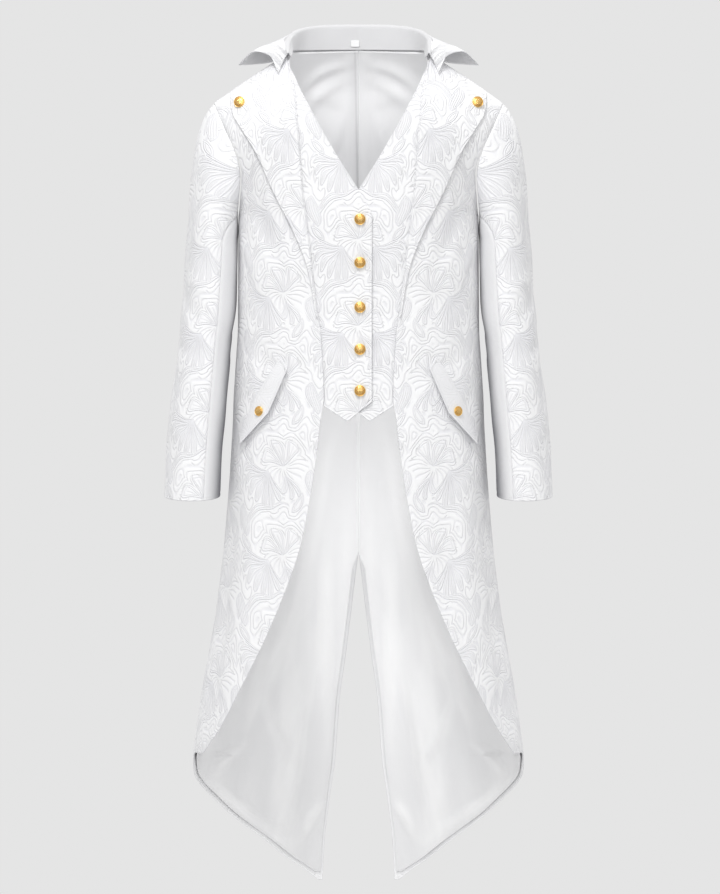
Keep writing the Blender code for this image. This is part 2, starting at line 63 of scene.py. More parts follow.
class Curve:
    """Smooth curve through the rows of a short table, that never overshoots them."""

    def __init__(self, *rows: Pair) -> None:
        """Sort the rows and work out a slope at each, the harmonic mean of its neighbours'.

        Args:
            rows: pairs of a position and the value there.
        """
        self.at, self.value = np.array(sorted(rows), dtype=float).T
        step = np.diff(self.value) / np.diff(self.at)
        before, after = step[:-1], step[1:]
        total = np.where(before + after == 0, 1, before + after)
        inner = np.where(before * after > 0, 2 * before * after / total, 0)
        self.slope = np.concatenate(([step[0]], inner, [step[-1]]))

    @classmethod
    def over(cls, at: Sequence[float], *values: float) -> Curve:
        """Curve whose values are given over a row of positions."""
        return cls(*zip(at, values))

    def __call__(self, at: Numbers) -> Array:
        """Read the curve as a cubic between the two nearest rows.

        Args:
            at: positions, held to the table's range.

        Returns:
            The values there.
        """
        x, y, slope = self.at, self.value, self.slope
        at = np.clip(np.asarray(at, dtype=float), x[0], x[-1])
        i = np.clip(np.searchsorted(x, at) - 1, 0, len(x) - 2)
        span = x[i + 1] - x[i]
        t = (at - x[i]) / span
        return ((1 + 2 * t) * (1 - t) ** 2 * y[i] + t * (1 - t) ** 2 * span * slope[i]
                + t * t * (3 - 2 * t) * y[i + 1] + t * t * (t - 1) * span * slope[i + 1])


def smooth_step(low: float, high: float, value: Numbers) -> Array:
    """Rise from 0 at low to 1 at high without corners."""
    t = np.clip((value - low) / (high - low), 0, 1)
    return t * t * (3 - 2 * t)


def mix(start: Numbers, end: Numbers, share: Numbers) -> Array:
    """Blend from start to end."""
    return start + (end - start) * share


def bell(distance: Numbers, width: float) -> Array:
    """Rounded hump of height 1: e to the minus square of distance over width."""
    return np.exp(-(np.asarray(distance) / width) ** 2)


EDGE_ROWS = (0.0005, 0.0012, 0.0020, 0.0030)
HEM_ROWS = (0.0006, 0.0014, 0.0025)
LEAST_STEP = 0.00025
ROUNDS = 20


def shares(length: float, spacing: float, first: bool = True, last: bool = True) -> Array:
    """Shares of a panel's length for its rows or columns, closer together at turned edges.

    Args:
        length: usual length of the panel this way, in metres.
        spacing: distance between the even rows.
        first: whether to add the close rows at the start.
        last: whether to add them at the end.

    Returns:
        Rising shares from 0 to 1.
    """
    even = np.linspace(0, 1, max(3, round(length / spacing)))
    near = np.array(EDGE_ROWS) / length
    parts = [even] + [near] * first + [1 - near] * last
    close = np.unique(np.round(np.concatenate(parts), 5))
    keep = np.concatenate(([True], np.diff(close) > LEAST_STEP / length))
    return close[keep]


LEVELS = (
    -1.270, -1.060, -.959, -.860, -.753, -.628, -.493, -.383, -.235, -.210,
    -.170, -.130, -.090, -.050, .060)


@dataclass(frozen=True)
class TorsoForm:
    """Surface that every body panel is cut from, as on the solids.

    The angle runs round the body from the side seam (0) to the centre front (+90 degrees) or
    the centre back (-90 degrees).
    """

    squareness: float = 2.3
    roll: float = 0.130
    roll_power: float = 2.2
    flutes: float = 5.0
    flute_depth: float = 0.006
    flute_start: float = -0.62
    flute_full: float = -1.05
    armpit: float = -0.235
    shoulder_tip: float = -0.059
    neck_back: float = 0.024
    neck_side: float = 0.1045
    corner: float = -1.0660
    tail_tip: float = -1.2650
    vent_top: float = -0.755
    width: Curve = Curve.over(
        LEVELS, .2660, .2534, .2395, .2225, .2095, .1990, .1905, .1865, .1860, .1900, .2030,
        .2220, .2360, .2420, .2450)
    front: Curve = Curve.over(
        LEVELS, .150, .145, .140, .135, .130, .126, .120, .119, .127, .128, .128, .127, .126,
        .124, .122)
    back: Curve = Curve.over(
        LEVELS, .150, .145, .141, .136, .131, .127, .119, .113, .118, .119, .119, .118, .116,
        .115, .114)
    shoulder: Curve = Curve(
        (-.050, .050), (.000, .058), (.050, .050), (.090, .030), (.109, .018),
        (.145, -.0047), (.185, -.0315), (.224, -.059), (.260, -.086))
    armhole: Curve = Curve(
        (-.235, .1860), (-.210, .1838), (-.170, .1812), (-.136, .1900), (-.102, .2054),
        (-.059, .2240))
    front_edge: Curve = Curve(
        (.021, .1045), (.008, .1072), (.000, .1066), (-.040, .0984), (-.115, .0920),
        (-.191, .0860), (-.253, .0780), (-.361, .0660), (-.426, .0575), (-.516, .0535),
        (-.5425, .0570), (-.637, .0690), (-.702, .0800), (-.747, .0896), (-.798, .1060),
        (-.896, .1450), (-.973, .1840), (-1.0215, .2125), (-1.049, .2340), (-1.066, .2470))

    def surface(self, angle: Array, height: Array) -> Array:
        """Squared ellipse at each height, rolled in over the shoulders, fluted at the tails.

        Args:
            angle: turn round the body, in radians.
            height: height of each point.

        Returns:
            Points, whose depth shrinks over the shoulders by (1 - rise^2.2)^(1/2.2), and
            which move in and out by a cosine of the angle that grows downwards.
        """
        cos, sin = np.cos(angle), np.sin(angle)
        across = self.width(height) * np.clip(cos, 0, 1) ** (2 / self.squareness)
        depth = np.where(sin > 0, self.front(height), self.back(height))
        rise = np.clip((height - self.shoulder(np.abs(across)) + self.roll) / self.roll, 0, 1)
        rolled = (1 - rise ** self.roll_power) ** (1 / self.roll_power)
        forward = depth * np.abs(sin) ** (2 / self.squareness) * np.sign(sin) * rolled
        grow = smooth_step(-self.flute_start, -self.flute_full, -height)
        wave = self.flute_depth * grow * np.cos(self.flutes * (angle + math.pi / 2))
        return np.stack((across + wave * cos, -forward - wave * sin, height + 0 * angle), -1)

    def angle_at(self, across: Numbers, height: Numbers) -> Array:
        """Angle at which the surface lies this far across."""
        ratio = np.clip(across / self.width(height), 0, 1)
        return np.arccos(ratio ** (self.squareness / 2))

    def front_at(self, across: Array, height: Array) -> Array:
        """Point of the front, straight behind a place seen from the front."""
        point = self.surface(self.angle_at(np.abs(across), height), height)
        point[..., 0] = across
        return point

    def back_top(self, across: Numbers) -> Array:
        """Height of the back's upper edge: the neckline, then the shoulder seam."""
        neck = mix(self.neck_back, self.shoulder(self.neck_side), across / self.neck_side)
        return np.where(across < self.neck_side, neck, self.shoulder(across))

    def upper_shares(self, count: int = 38) -> Array:
        """Shares of the height above the armpit, evenly spaced round the shoulder's roll."""
        turn = np.linspace(0, math.pi / 2, count)[1:]
        straight = 0.4
        rolled = mix(straight, 1, np.sin(turn) ** (2 / self.roll_power))
        return np.concatenate((np.linspace(0, straight, count // 2 + 1)[1:], rolled))

    def settle(self, edge: Curve, top: Callable, share: Array, base: float) -> Array:
        """Angle on an edge at each share of the way from a base height to a sloping top."""
        height = np.full_like(share, base)
        for _ in range(ROUNDS):
            across = edge(height)
            height = mix(base, top(across), share)
        return self.angle_at(across, height)

    def patch(self, outer: Array, inner: Array, top: Callable, base: float,
              rows: Array, columns: Array) -> Array:
        """Points between two edges, whose rows rise from a level base to a sloping top.

        Args:
            outer: angle of the first column at each row.
            inner: angle of the last column at each row.
            top: height of the upper edge, at each distance across.
            base: height of the lower edge.
            rows: share of the way up at each row.
            columns: share of the way round at each column.

        Returns:
            Grid of points.
        """
        u, v = np.meshgrid(columns, rows)
        angle = mix(outer[:, None], inner[:, None], u)
        height = np.full_like(u, base)
        for _ in range(ROUNDS):
            across = self.surface(angle, height)[..., 0]
            height = mix(base, top(across), v)
        return self.surface(angle, height)


TORSO = TorsoForm()
CLOTH = 0.0016
LINING = 0.0012
COLLAR = 0.0018
LAYER = 0.0009
SEAM = 0.0003
REVERSE = 3.0
INSIDE = (0.0, 0.0, -0.25)
STITCH = 0.003
LINE_HALF = 0.30
LEVEL_SLOPE = 0.5
LEVEL_FALL = 0.08


def outward(points: Array, middle: Triple = INSIDE) -> Array:
    """Unit normals of a grid by differences, turned away from a point inside the form."""
    normal = np.cross(np.gradient(points, axis=0), np.gradient(points, axis=1))
    normal /= np.maximum(np.linalg.norm(normal, axis=-1, keepdims=True), 1e-12)
    turn = np.sign(np.sum(normal * (points - np.array(middle)), axis=-1).mean())
    return normal * turn


def arc(points: Array, axis: int) -> Array:
    """Length run along the rows (axis 0) or columns (axis 1) of a grid, from its first."""
    step = np.linalg.norm(np.diff(points, axis=axis), axis=-1)
    start = np.zeros_like(step[:1] if axis == 0 else step[:, :1])
    return np.concatenate((start, np.cumsum(step, axis=axis)), axis=axis)


def stand_for(node: str, kind: str, mesh: bpy.types.Mesh, material: Material
              ) -> bpy.types.Object:
    """Put a finished mesh in the scene, in the place of its solid.

    Args:
        node: name of the solid that it stands for.
        kind: what the piece is made of, the last word of its name.
        mesh: its form.
        material: its finish.

    Returns:
        The finished piece.
    """
    piece = bpy.data.objects.new(f"{node}_{kind}", mesh)
    bpy.context.scene.collection.objects.link(piece)
    mesh.materials.append(material)
    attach(piece, "root")
    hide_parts(node)
    LOG.info("%s: %d faces", piece.name, len(mesh.polygons))
    return piece


def body_place(points: Array, anchor: int) -> Array:
    """Place of a body panel's points on the cloth, so that its pattern hangs straight.

    Args:
        points: grid of the panel.
        anchor: column it is measured from, 0 or -1.

    Returns:
        Way round the body from the centre plane, and height measured over the shoulder.
    """
    flat = arc(points[..., :2], 1)
    across = points[:, anchor, :1] + np.abs(flat - flat[:, anchor, None])
    rise = arc(points[..., 1:], 0) + points[:1, :, 2]
    return np.stack((across, rise), -1)


@dataclass(frozen=True)
class Crease:
    """Soft trough (depth below 0) or ridge between two places on the cut cloth.

    Its cross section is a bell that is steeper on one side, and it fades at both ends.
    """

    start: Pair
    end: Pair
    width: float
    depth: float
    bow: float = 0.0

    def relief(self, across: Array, height: Array) -> Array:
        """Depth times a bell of the distance from a bowed line.

        Args:
            across: distance across the cut cloth at each point.
            height: distance up it.

        Returns:
            Metres to move each point outwards.
        """
        start, end = np.array(self.start), np.array(self.end)
        run = end - start
        length = float(np.hypot(*run))
        side = np.array((-run[1], run[0])) / length
        dx, dy = across - start[0], height - start[1]
        t = np.clip((dx * run[0] + dy * run[1]) / length ** 2, 0, 1)
        off = dx * side[0] + dy * side[1] - self.bow * 4 * t * (1 - t)
        beyond = (dx * run[0] + dy * run[1]) / length - t * length
        width = self.width * np.where(off > 0, 1.3, 0.75)
        fade = 0.25 + 0.75 * np.sin(math.pi * np.clip(t, 0.02, 0.98))
        away = (off / width) ** 2 + (beyond / (2 * self.width)) ** 2
        return self.depth * fade * np.exp(-away)


CreaseTable = tuple[Crease, ...]


def crease_table(*rows: tuple[float, ...]) -> CreaseTable:
    """Creases from rows of start (2 numbers), end (2), width, depth and bow."""
    return tuple(Crease(row[:2], row[2:4], *row[4:]) for row in rows)


class Side(Enum):
    """The four sides of a panel's grid."""

    FIRST = 0
    LAST = 1
    FOOT = 2
    TOP = 3


@dataclass
class Panel:
    """One cut piece of cloth: a grid of points on its solid's face, and how it is finished."""

    name: str
    form: Array
    wall: float
    wall_outside: bool = False
    middle: Triple = INSIDE
    turned: tuple[Side, ...] = ()
    stitched: tuple[Side, ...] | None = None
    creases: Sequence[Crease] = ()
    place: Array | None = None
    relief: Array | float = 0.0
    stitch_in: float = 0.0045
    stitch_depth: float = 0.0004
    seam_depth: float = 0.0006
    slot: str = "brocade"
    held: str = "hung"
    uneven: float = 0.0006
    calm: float = 0.020
    calm_from: float = 0.004
    stitch_width: float = 0.0011
    seam_width: float = 0.0022
    thinnest: float = 0.12

    def __post_init__(self) -> None:
        """Measure the panel: distances to its four sides, and its places on the cut."""
        along, up = arc(self.form, 1), arc(self.form, 0)
        self.reach = {Side.FIRST: along, Side.LAST: along[:, -1:] - along,
                      Side.FOOT: up, Side.TOP: up[-1:] - up}
        if self.place is None:
            self.place = np.stack((self.reach[Side.LAST], up + self.form[..., 2].min()), -1)
        self.across, self.height = self.place[..., 0], self.place[..., 1]
        self.stitched = self.turned if self.stitched is None else self.stitched
        self.lift = np.zeros(self.form.shape[:2])
        self.normal = outward(self.form, self.middle)

    def nearest(self, sides: Sequence[Side]) -> Array:
        """Distance to the nearest of some sides, or a large number where there are none."""
        far = np.full(self.form.shape[:2], 1.0)
        for side in sides:
            far = np.minimum(far, self.reach[side])
        return far

    def faces(self) -> tuple[Array, Array]:
        """Outer and inner face of the wall, with rounded edges, stitching and creases.

        Returns:
            Two grids: the form moved outwards by the relief, and the same a wall further in.
            Within a wall's thickness of a turned edge the two close in on each other as a
            quarter circle does, and half as far at a sewn one. A stitched line runs a few
            millimetres inside an edge, and a sewn edge dips. Creases die out at every
            edge; the relief only where the panel is sewn.
        """
        edge = self.nearest(self.turned)
        sewn = self.nearest([side for side in Side if side not in self.turned])
        lift = np.zeros(self.form.shape[:2])
        for crease in self.creases:
            lift = lift + crease.relief(self.across, self.height)
        lift = lift + self.uneven * np.sin(self.across * 61 + 2 * np.sin(self.height * 17)) \
            * np.sin(self.height * 43 + 3 * np.sin(self.across * 23))
        lift = lift * smooth_step(0, self.calm, np.minimum(edge, sewn) + self.calm_from)
        lift = lift + self.relief * smooth_step(0, self.calm, sewn + self.calm_from)
        self.lift = lift
        stitches = self.nearest(self.stitched) - self.stitch_in
        lift = lift - self.stitch_depth * bell(stitches, self.stitch_width)
        lift = lift - self.seam_depth * bell(sewn, self.seam_width)
        near = np.clip(np.minimum(edge / self.wall, 0.5 + sewn / self.wall), 0, 1)
        fullness = np.maximum(np.sqrt(1 - (1 - near) ** 2), self.thinnest)
        tuck = self.wall / 2 * (1 - fullness)
        stand = self.wall if self.wall_outside else 0.0
        outer = self.form + self.normal * (lift + stand - tuck)[..., None]
        inner = self.form + self.normal * (lift + stand - self.wall + tuck)[..., None]
        return outer, inner

    def mesh(self, mirror: bool) -> bpy.types.Mesh:
        """Closed mesh of the wall, with UV maps of what its finish needs.

        "Cut" holds the place on the cloth, "Edge" the distance to a stitched edge and the
        place along it, and "Fold" the distance to a turned edge and the height of the folds.

        The place along the edge is shifted by REVERSE on the inner face, so that a finish can
        tell the cloth's two faces apart.

        Args:
            mirror: whether to make the other side's piece.

        Returns:
            Mesh of the two faces and the rim that joins them.
        """
        outer, inner = self.faces()
        rows, columns = outer.shape[:2]
        index = np.arange(rows * columns).reshape(rows, columns)
        quads = np.stack((index[:-1, :-1], index[:-1, 1:], index[1:, 1:], index[1:, :-1]), -1)
        quads = quads.reshape(-1, 4)
        border = np.concatenate((index[0, :-1], index[:-1, -1], index[-1, :0:-1],
                                 index[:0:-1, 0]))
        after = np.roll(border, -1)
        total = rows * columns
        rim = np.stack((border, border + total, after + total, after), -1)
        faces = np.concatenate((quads, quads[:, ::-1] + total, rim))
        i, j = rows // 2, columns // 2
        middle = self.form[i, j]
        facing = np.cross(self.form[i, j + 1] - middle, self.form[i + 1, j] - middle)
        if np.dot(facing, self.normal[i, j]) < 0:
            faces = faces[:, ::-1]
        points = np.concatenate((outer.reshape(-1, 3), inner.reshape(-1, 3)))
        if mirror:
            points = points * np.array((-1, 1, 1))
            faces = faces[:, ::-1]
        mesh = bpy.data.meshes.new(self.name)
        mesh.from_pydata(points.tolist(), [], faces.tolist())
        rim_edge, stitched = self.nearest(self.turned), self.nearest(self.stitched)
        run = np.where(np.minimum(self.reach[Side.FIRST], self.reach[Side.LAST])
                       < np.minimum(self.reach[Side.FOOT], self.reach[Side.TOP]),
                       self.height, self.across)
        corner = faces.reshape(-1) % total
        inside = faces.reshape(-1) >= total
        for name, first, second, shift in (("Cut", self.across, self.height, 0.0),
                                           ("Edge", stitched, run, REVERSE),
                                           ("Fold", rim_edge, self.lift, 0.0)):
            layer = mesh.uv_layers.new(name=name)
            flat = np.stack((first.reshape(-1)[corner],
                             second.reshape(-1)[corner] + shift * inside), -1)
            layer.data.foreach_set("uv", flat.reshape(-1))
        mesh.validate()
        mesh.shade_smooth()
        return mesh

    def cut(self) -> tuple[Pair, float]:
        """Width and length of the flat cut, and its area, from the form before it creases.

        The width is that of the widest level row, because rows along a curved top run longer.
        """
        a = self.form[1:, :-1] - self.form[:-1, :-1]
        b = self.form[:-1, 1:] - self.form[:-1, :-1]
        area = float(np.linalg.norm(np.cross(a, b), axis=-1).sum())
        length = float(self.reach[Side.FOOT].max())
        rows = self.reach[Side.FIRST][:, -1]
        level = np.ptp(self.form[..., 2], axis=1) < np.minimum(rows * LEVEL_SLOPE, LEVEL_FALL)
        width = max(float(rows[level].max() if level.any() else rows.max()), area / length)
        return (width, length), min(area, width * length)

    def make(self, node: str, material: Material, mirror: bool = False) -> None:
        """Build the piece or its mirror image in the place of its solid."""
        piece = stand_for(node, "cloth", self.mesh(mirror), material)

    def make_pair(self, name: str, material: Material) -> None:
        """Build the piece and its mirror image."""
        self.make(name + "_left", material)
        self.make(name + "_right", material, mirror=True)


def clear_of_seams(grid: Array, face: int) -> Array:
    """Keep a panel half a seam's gap from the side plane and from the centre plane."""
    grid[..., 1] = face * np.maximum(face * grid[..., 1], SEAM / 2)
    grid[..., 0] = np.maximum(grid[..., 0], SEAM / 2)
    return grid


@dataclass
class Fronts:
    """The two coat fronts, from the side seam and armhole to the cutaway front edge."""

    spacing: float = 0.005
    creases: CreaseTable = crease_table(
        (.125, -.30, .205, -.215, .016, -.0028, .010),
        (.150, -.36, .225, -.262, .013, .0020, .008),
        (.110, -.62, .140, -.86, .020, -.0030, .006),
        (.165, -.60, .205, -.93, .022, .0034, -.008),
        (.095, -.47, .205, -.44, .016, -.0018, .006),
        (.205, -.66, .250, -1.02, .017, -.0030, .006),
        (.150, -.12, .165, -.25, .014, -.0018, .008),
        (.225, -.40, .262, -.60, .018, .0022, -.006),
    )

    def form(self) -> Array:
        """Grid between the side seam and the front edge, then up round the armhole."""
        columns = shares(0.25, self.spacing)
        count = round((TORSO.armpit - TORSO.corner) / self.spacing)
        heights = np.linspace(TORSO.corner, TORSO.armpit, count)
        heights = np.sort(np.concatenate((heights, TORSO.corner + np.array(HEM_ROWS))))
        inner = TORSO.angle_at(TORSO.front_edge(heights), heights)
        angle = inner[:, None] * columns
        low = TORSO.surface(angle, heights[:, None] + 0 * angle)
        rows = TORSO.upper_shares()
        top = TORSO.shoulder
        high = TORSO.patch(TORSO.settle(TORSO.armhole, top, rows, TORSO.armpit),
                           TORSO.settle(TORSO.front_edge, top, rows, TORSO.armpit),
                           top, TORSO.armpit, rows, columns)
        return clear_of_seams(np.concatenate((low, high)), -1)

    def build(self, material: Material) -> None:
        """Make both fronts."""
        points = self.form()
        Panel("front", points, CLOTH, turned=(Side.LAST, Side.FOOT),
              stitched=(Side.FOOT,), creases=self.creases,
              place=body_place(points, -1)).make_pair("front", material)


@dataclass
class Backs:
    """The two halves of the back, whose tails hang apart below the centre vent."""

    spacing: float = 0.005
    hem: Curve = Curve(
        (-1.265, .0620), (-1.249, .0830), (-1.231, .1110), (-1.203, .1480), (-1.180, .1800),
        (-1.159, .2050), (-1.127, .2325), (-1.111, .2440), (-1.097, .2505), (-1.066, .2535))
    vent: Curve = Curve(
        (-1.265, .0555), (-1.209, .0525), (-1.135, .0440), (-1.079, .0360), (-.984, .0290),
        (-.910, .0190), (-.832, .0095), (-.755, .0002))
    lining_short: float = 0.0115
    lining_in_vent: float = 0.0035
    lining_foot: float = 0.013
    tail_ease: float = 0.0006
    creases: CreaseTable = crease_table(
        (.034, -.78, .062, -1.14, .017, .0048, .006),
        (.088, -.78, .122, -1.17, .019, -.0046, -.008),
        (.146, -.72, .186, -1.12, .020, .0050, .008),
        (.214, -.70, .246, -1.06, .018, -.0044, .006),
        (.058, -.19, .156, -.275, .016, -.0036, .012),
        (.075, -.25, .165, -.325, .014, -.0028, .008),
        (.070, -.395, .196, -.428, .016, -.0040, -.006),
        (.050, -.455, .180, -.475, .014, -.0034, .008),
        (.100, -.505, .200, -.545, .013, -.0026, -.004),
        (.122, -.10, .164, -.23, .016, .0032, -.006),
        (.020, -.060, .090, -.046, .013, -.0026, .006),
        (.018, -.30, .022, -.62, .016, -.0022, .003),
    )
    lining_creases: CreaseTable = crease_table(
        (.066, -.900, .110, -1.150, .013, -.0085, .005),
        (.150, -.980, .104, -1.085, .008, -.0055, .003),
        (.250, -1.088, .190, -1.050, .008, -.0055, -.006),
        (.232, -1.104, .118, -1.196, .011, -.0050, .004),
        (.050, -1.140, .086, -1.196, .007, -.0050, .002),
        (.046, -.760, .042, -1.060, .010, -.0060, .004),
        (.086, -.700, .148, -.960, .014, -.0070, -.006),
        (.120, -.860, .186, -1.040, .012, -.0060, .006),
        (.040, -.560, .082, -.800, .014, -.0055, .004),
        (.016, -.700, .024, -.840, .008, -.0030, -.002),
        (.160, -.760, .214, -.960, .013, -.0055, .004),
        (.020, .004, .098, -.040, .009, -.0050, .010),
        (.022, -.022, .090, -.080, .010, -.0040, .008),
        (.018, -.060, .060, -.170, .009, -.0030, -.004),
        (.020, -.280, .110, -.360, .016, -.0030, .006),
        (.015, -.450, .120, -.500, .014, -.0028, -.006),
    )

    def form(self, lining: bool = False) -> Array:
        """Grid from the side seam, armhole and hem to the centre seam and vent.

        Args:
            lining: whether to stop short of the hem and the vent, as the lining does.

        Returns:
            Points on the torso's back.
        """
        columns = shares(0.28, self.spacing)
        foot = TORSO.tail_tip + (self.lining_foot if lining else 0)
        count = round((TORSO.armpit - foot) / self.spacing)
        heights = np.linspace(foot, TORSO.armpit, count)
        heights = np.sort(np.concatenate((heights, foot + np.array(HEM_ROWS))))
        outer = -TORSO.angle_at(self.hem(heights), heights)
        outer = np.where(heights > TORSO.corner, 0, outer)
        vent = TORSO.angle_at(self.vent(heights), heights)
        inner = -np.where(heights < TORSO.vent_top, vent, math.pi / 2)
        ends = TORSO.surface(np.stack((outer, inner), -1), heights[:, None] + np.zeros(2))
        span = np.maximum(np.linalg.norm(ends[:, 1] - ends[:, 0], axis=-1), 0.004)
        first = np.zeros_like(span)
        last = np.ones_like(span)
        if lining:
            tail = 1 - smooth_step(TORSO.corner - 0.004, TORSO.corner + 0.004, heights)
            first = np.minimum(self.lining_short * tail / span, 0.45)
            open_vent = smooth_step(-TORSO.vent_top, 0.03 - TORSO.vent_top, -heights)
            last = 1 - np.minimum(self.lining_in_vent * open_vent / span, 0.45)
        angle = mix(outer[:, None], inner[:, None],
                    mix(first[:, None], last[:, None], columns))
        low = TORSO.surface(angle, heights[:, None] + 0 * angle)
        rows = TORSO.upper_shares()
        top = TORSO.back_top
        high = TORSO.patch(-TORSO.settle(TORSO.armhole, top, rows, TORSO.armpit),
                           np.full_like(rows, -math.pi / 2), top, TORSO.armpit, rows, columns)
        return clear_of_seams(np.concatenate((low, high)), 1)

    def lining_relief(self, panel: Panel) -> Array:
        """Drape of the lining: long troughs of uneven spacing that fan out down the tails."""
        across, height = panel.across, panel.height
        fan = across / np.maximum(0.30 - 0.75 * height, 0.3)
        grow = smooth_step(0.45, 1.0, -height)
        waves = np.sin(fan * 70 + 1.1 * np.sin(fan * 23)) + 0.5 * np.sin(fan * 131 + 0.8)
        seam = bell(across - 0.0040, 0.0022) * smooth_step(0.40, 0.44, -height) \
            * (1 - smooth_step(0.71, 0.76, -height))
        pleat = bell(across - 0.010, 0.007) * (1 - smooth_step(0.20, 0.34, -height))
        return -0.0030 * grow * (1 + waves / 1.5) / 2 - 0.0012 * seam - 0.0030 * pleat

    def build(self, material: Material, satin: Material) -> None:
        """Make the backs and their lining, which gives way where the cloth is pressed in."""
        points = self.form()
        Panel("back", points, CLOTH, turned=(Side.FIRST, Side.LAST, Side.FOOT),
              creases=self.creases, stitch_depth=0.0002,
              place=body_place(points, -1)).make_pair("back", material)
        points = self.form(lining=True)
        ease = self.tail_ease * smooth_step(0.8, 1.05, -points[..., 2])
        points = points - outward(points) * (CLOTH + LAYER + ease)[..., None]
        points[..., 0] = np.maximum(points[..., 0], SEAM / 2)
        pressed = tuple(crease for crease in self.creases if crease.depth < 0)
        lining = Panel("lining", points, LINING, turned=(Side.FIRST, Side.LAST, Side.FOOT),
                       creases=self.lining_creases + pressed, slot="lining_satin",
                       stitch_in=0.0035, seam_depth=0.0002,
                       stitch_depth=0.0002, uneven=0.0, place=body_place(points, -1))
        lining.relief = self.lining_relief(lining)
        lining.make_pair("lining", satin)


@dataclass
class Lapels:
    """Lapels folded back flat on the fronts and buttoned to the shoulders."""

    foot: float = -0.392
    below_seam: float = 0.0055
    fold_turn: float = 0.006
    spring: float = 0.0012
    grain: Pair = (0.034, 0.020)
    edge_lift: float = 0.0014
    edge: Curve = Curve(
        (-.392, .0655), (-.361, .0700), (-.315, .0790), (-.265, .0975), (-.206, .1265),
        (-.188, .1350), (-.140, .1560), (-.100, .1800), (-.078, .1930), (-.060, .1960),
        (-.030, .1950))
    creases: CreaseTable = crease_table(
        (.110, -.17, .160, -.08, .014, -.0010, .006),
        (.085, -.30, .115, -.18, .010, .0010, .004),
    )

    def top(self, across: Numbers) -> Array:
        """Height of the lapel's upper edge, just below the shoulder seam."""
        return TORSO.shoulder(across) - self.below_seam

    def form(self) -> Array:
        """Grid between the lapel's outer edge and the fold, lifted clear of the front."""
        rows = 1 - (1 - shares(0.40, 0.005)) ** 1.3
        columns = shares(0.075, 0.004)
        inner = TORSO.settle(TORSO.front_edge, self.top, rows, self.foot) - self.fold_turn
        points = TORSO.patch(TORSO.settle(self.edge, self.top, rows, self.foot), inner,
                             self.top, self.foot, rows, columns)
        lift = LAYER + self.spring * smooth_step(-0.08, -0.01, points[..., 2])
        return points + outward(points) * (CLOTH + lift)[..., None]

    def build(self, material: Material) -> None:
        """Make both lapels."""
        points = self.form()
        panel = Panel("lapel", points, CLOTH, turned=tuple(Side),
                      stitched=(Side.FIRST, Side.TOP), creases=self.creases,
                      stitch_depth=0.00025, uneven=0.0004,
                      place=body_place(points, -1) + self.grain)
        panel.relief = self.edge_lift * bell(panel.reach[Side.FIRST], 0.010)
        panel.make_pair("lapel", material)


@dataclass
class WaistcoatFronts:
    """The two waistcoat fronts; the wearer's right one laps over the left one."""

    lap: float = 0.0209
    gap: float = 0.0021
    under_low: float = 0.090
    under_high: float = 0.134
    lap_crest: float = 0.022
    lap_end: float = 0.050
    edge_lift: float = 0.0034
    neckline: Curve = Curve(
        (-.0209, -.2310), (-.0023, -.1980), (.0318, -.1440), (.0580, -.0990),
        (.0984, -.0230), (.1100, .0020), (.1400, -.0120))
    point_across: tuple[float, ...] = (-.0209, .0170, .0566, .1000)
    point_height: tuple[float, ...] = (-.5220, -.5530, -.5275, -.4950)
    creases: CreaseTable = crease_table(
        (.030, -.26, .075, -.31, .012, -.0010, .004),
        (.025, -.38, .070, -.40, .010, -.0010, -.004),
        (.020, -.47, .065, -.45, .010, .0009, .004),
    )

    def form(self, laps: bool) -> Array:
        """Grid seen as if on +X, from the lap edge to under the coat.

        Args:
            laps: whether this one lies on top; the other dips where it is lapped.

        Returns:
            Points on the torso's front, moved in behind the coat's fronts.
        """
        rows = 1 - (1 - shares(0.40, 0.0045)) ** 1.25
        u, v = np.meshgrid(shares(0.13, 0.0045), rows)
        across = mix(-self.lap, mix(self.under_low, self.under_high, v), u)
        hem = np.interp(across, self.point_across, self.point_height)
        height = mix(hem, self.neckline(across), v)
        depth = CLOTH + self.gap + 0 * across
        if not laps:
            depth = depth + (CLOTH + LAYER) * (1 - smooth_step(self.lap_crest, self.lap_end,
                                                               across))
        grid = TORSO.front_at(across, height)
        return grid - outward(grid) * depth[..., None]

    def build(self, material: Material) -> None:
        """Make the lapped front on the wearer's right and the under one on the left."""
        for name, laps in (("waistcoat_right", True), ("waistcoat_left", False)):
            points = self.form(laps)
            panel = Panel(name, points, CLOTH, turned=(Side.FIRST, Side.FOOT, Side.TOP),
                          creases=self.creases, place=body_place(points, 0), uneven=0.0004)
            if laps:
                panel.relief = self.edge_lift * bell(panel.reach[Side.FIRST], 0.012)
            panel.make(name, material, mirror=laps)


SLEEVE_LEVELS = (-.690, -.600, -.538, -.425, -.383, -.310, -.270)


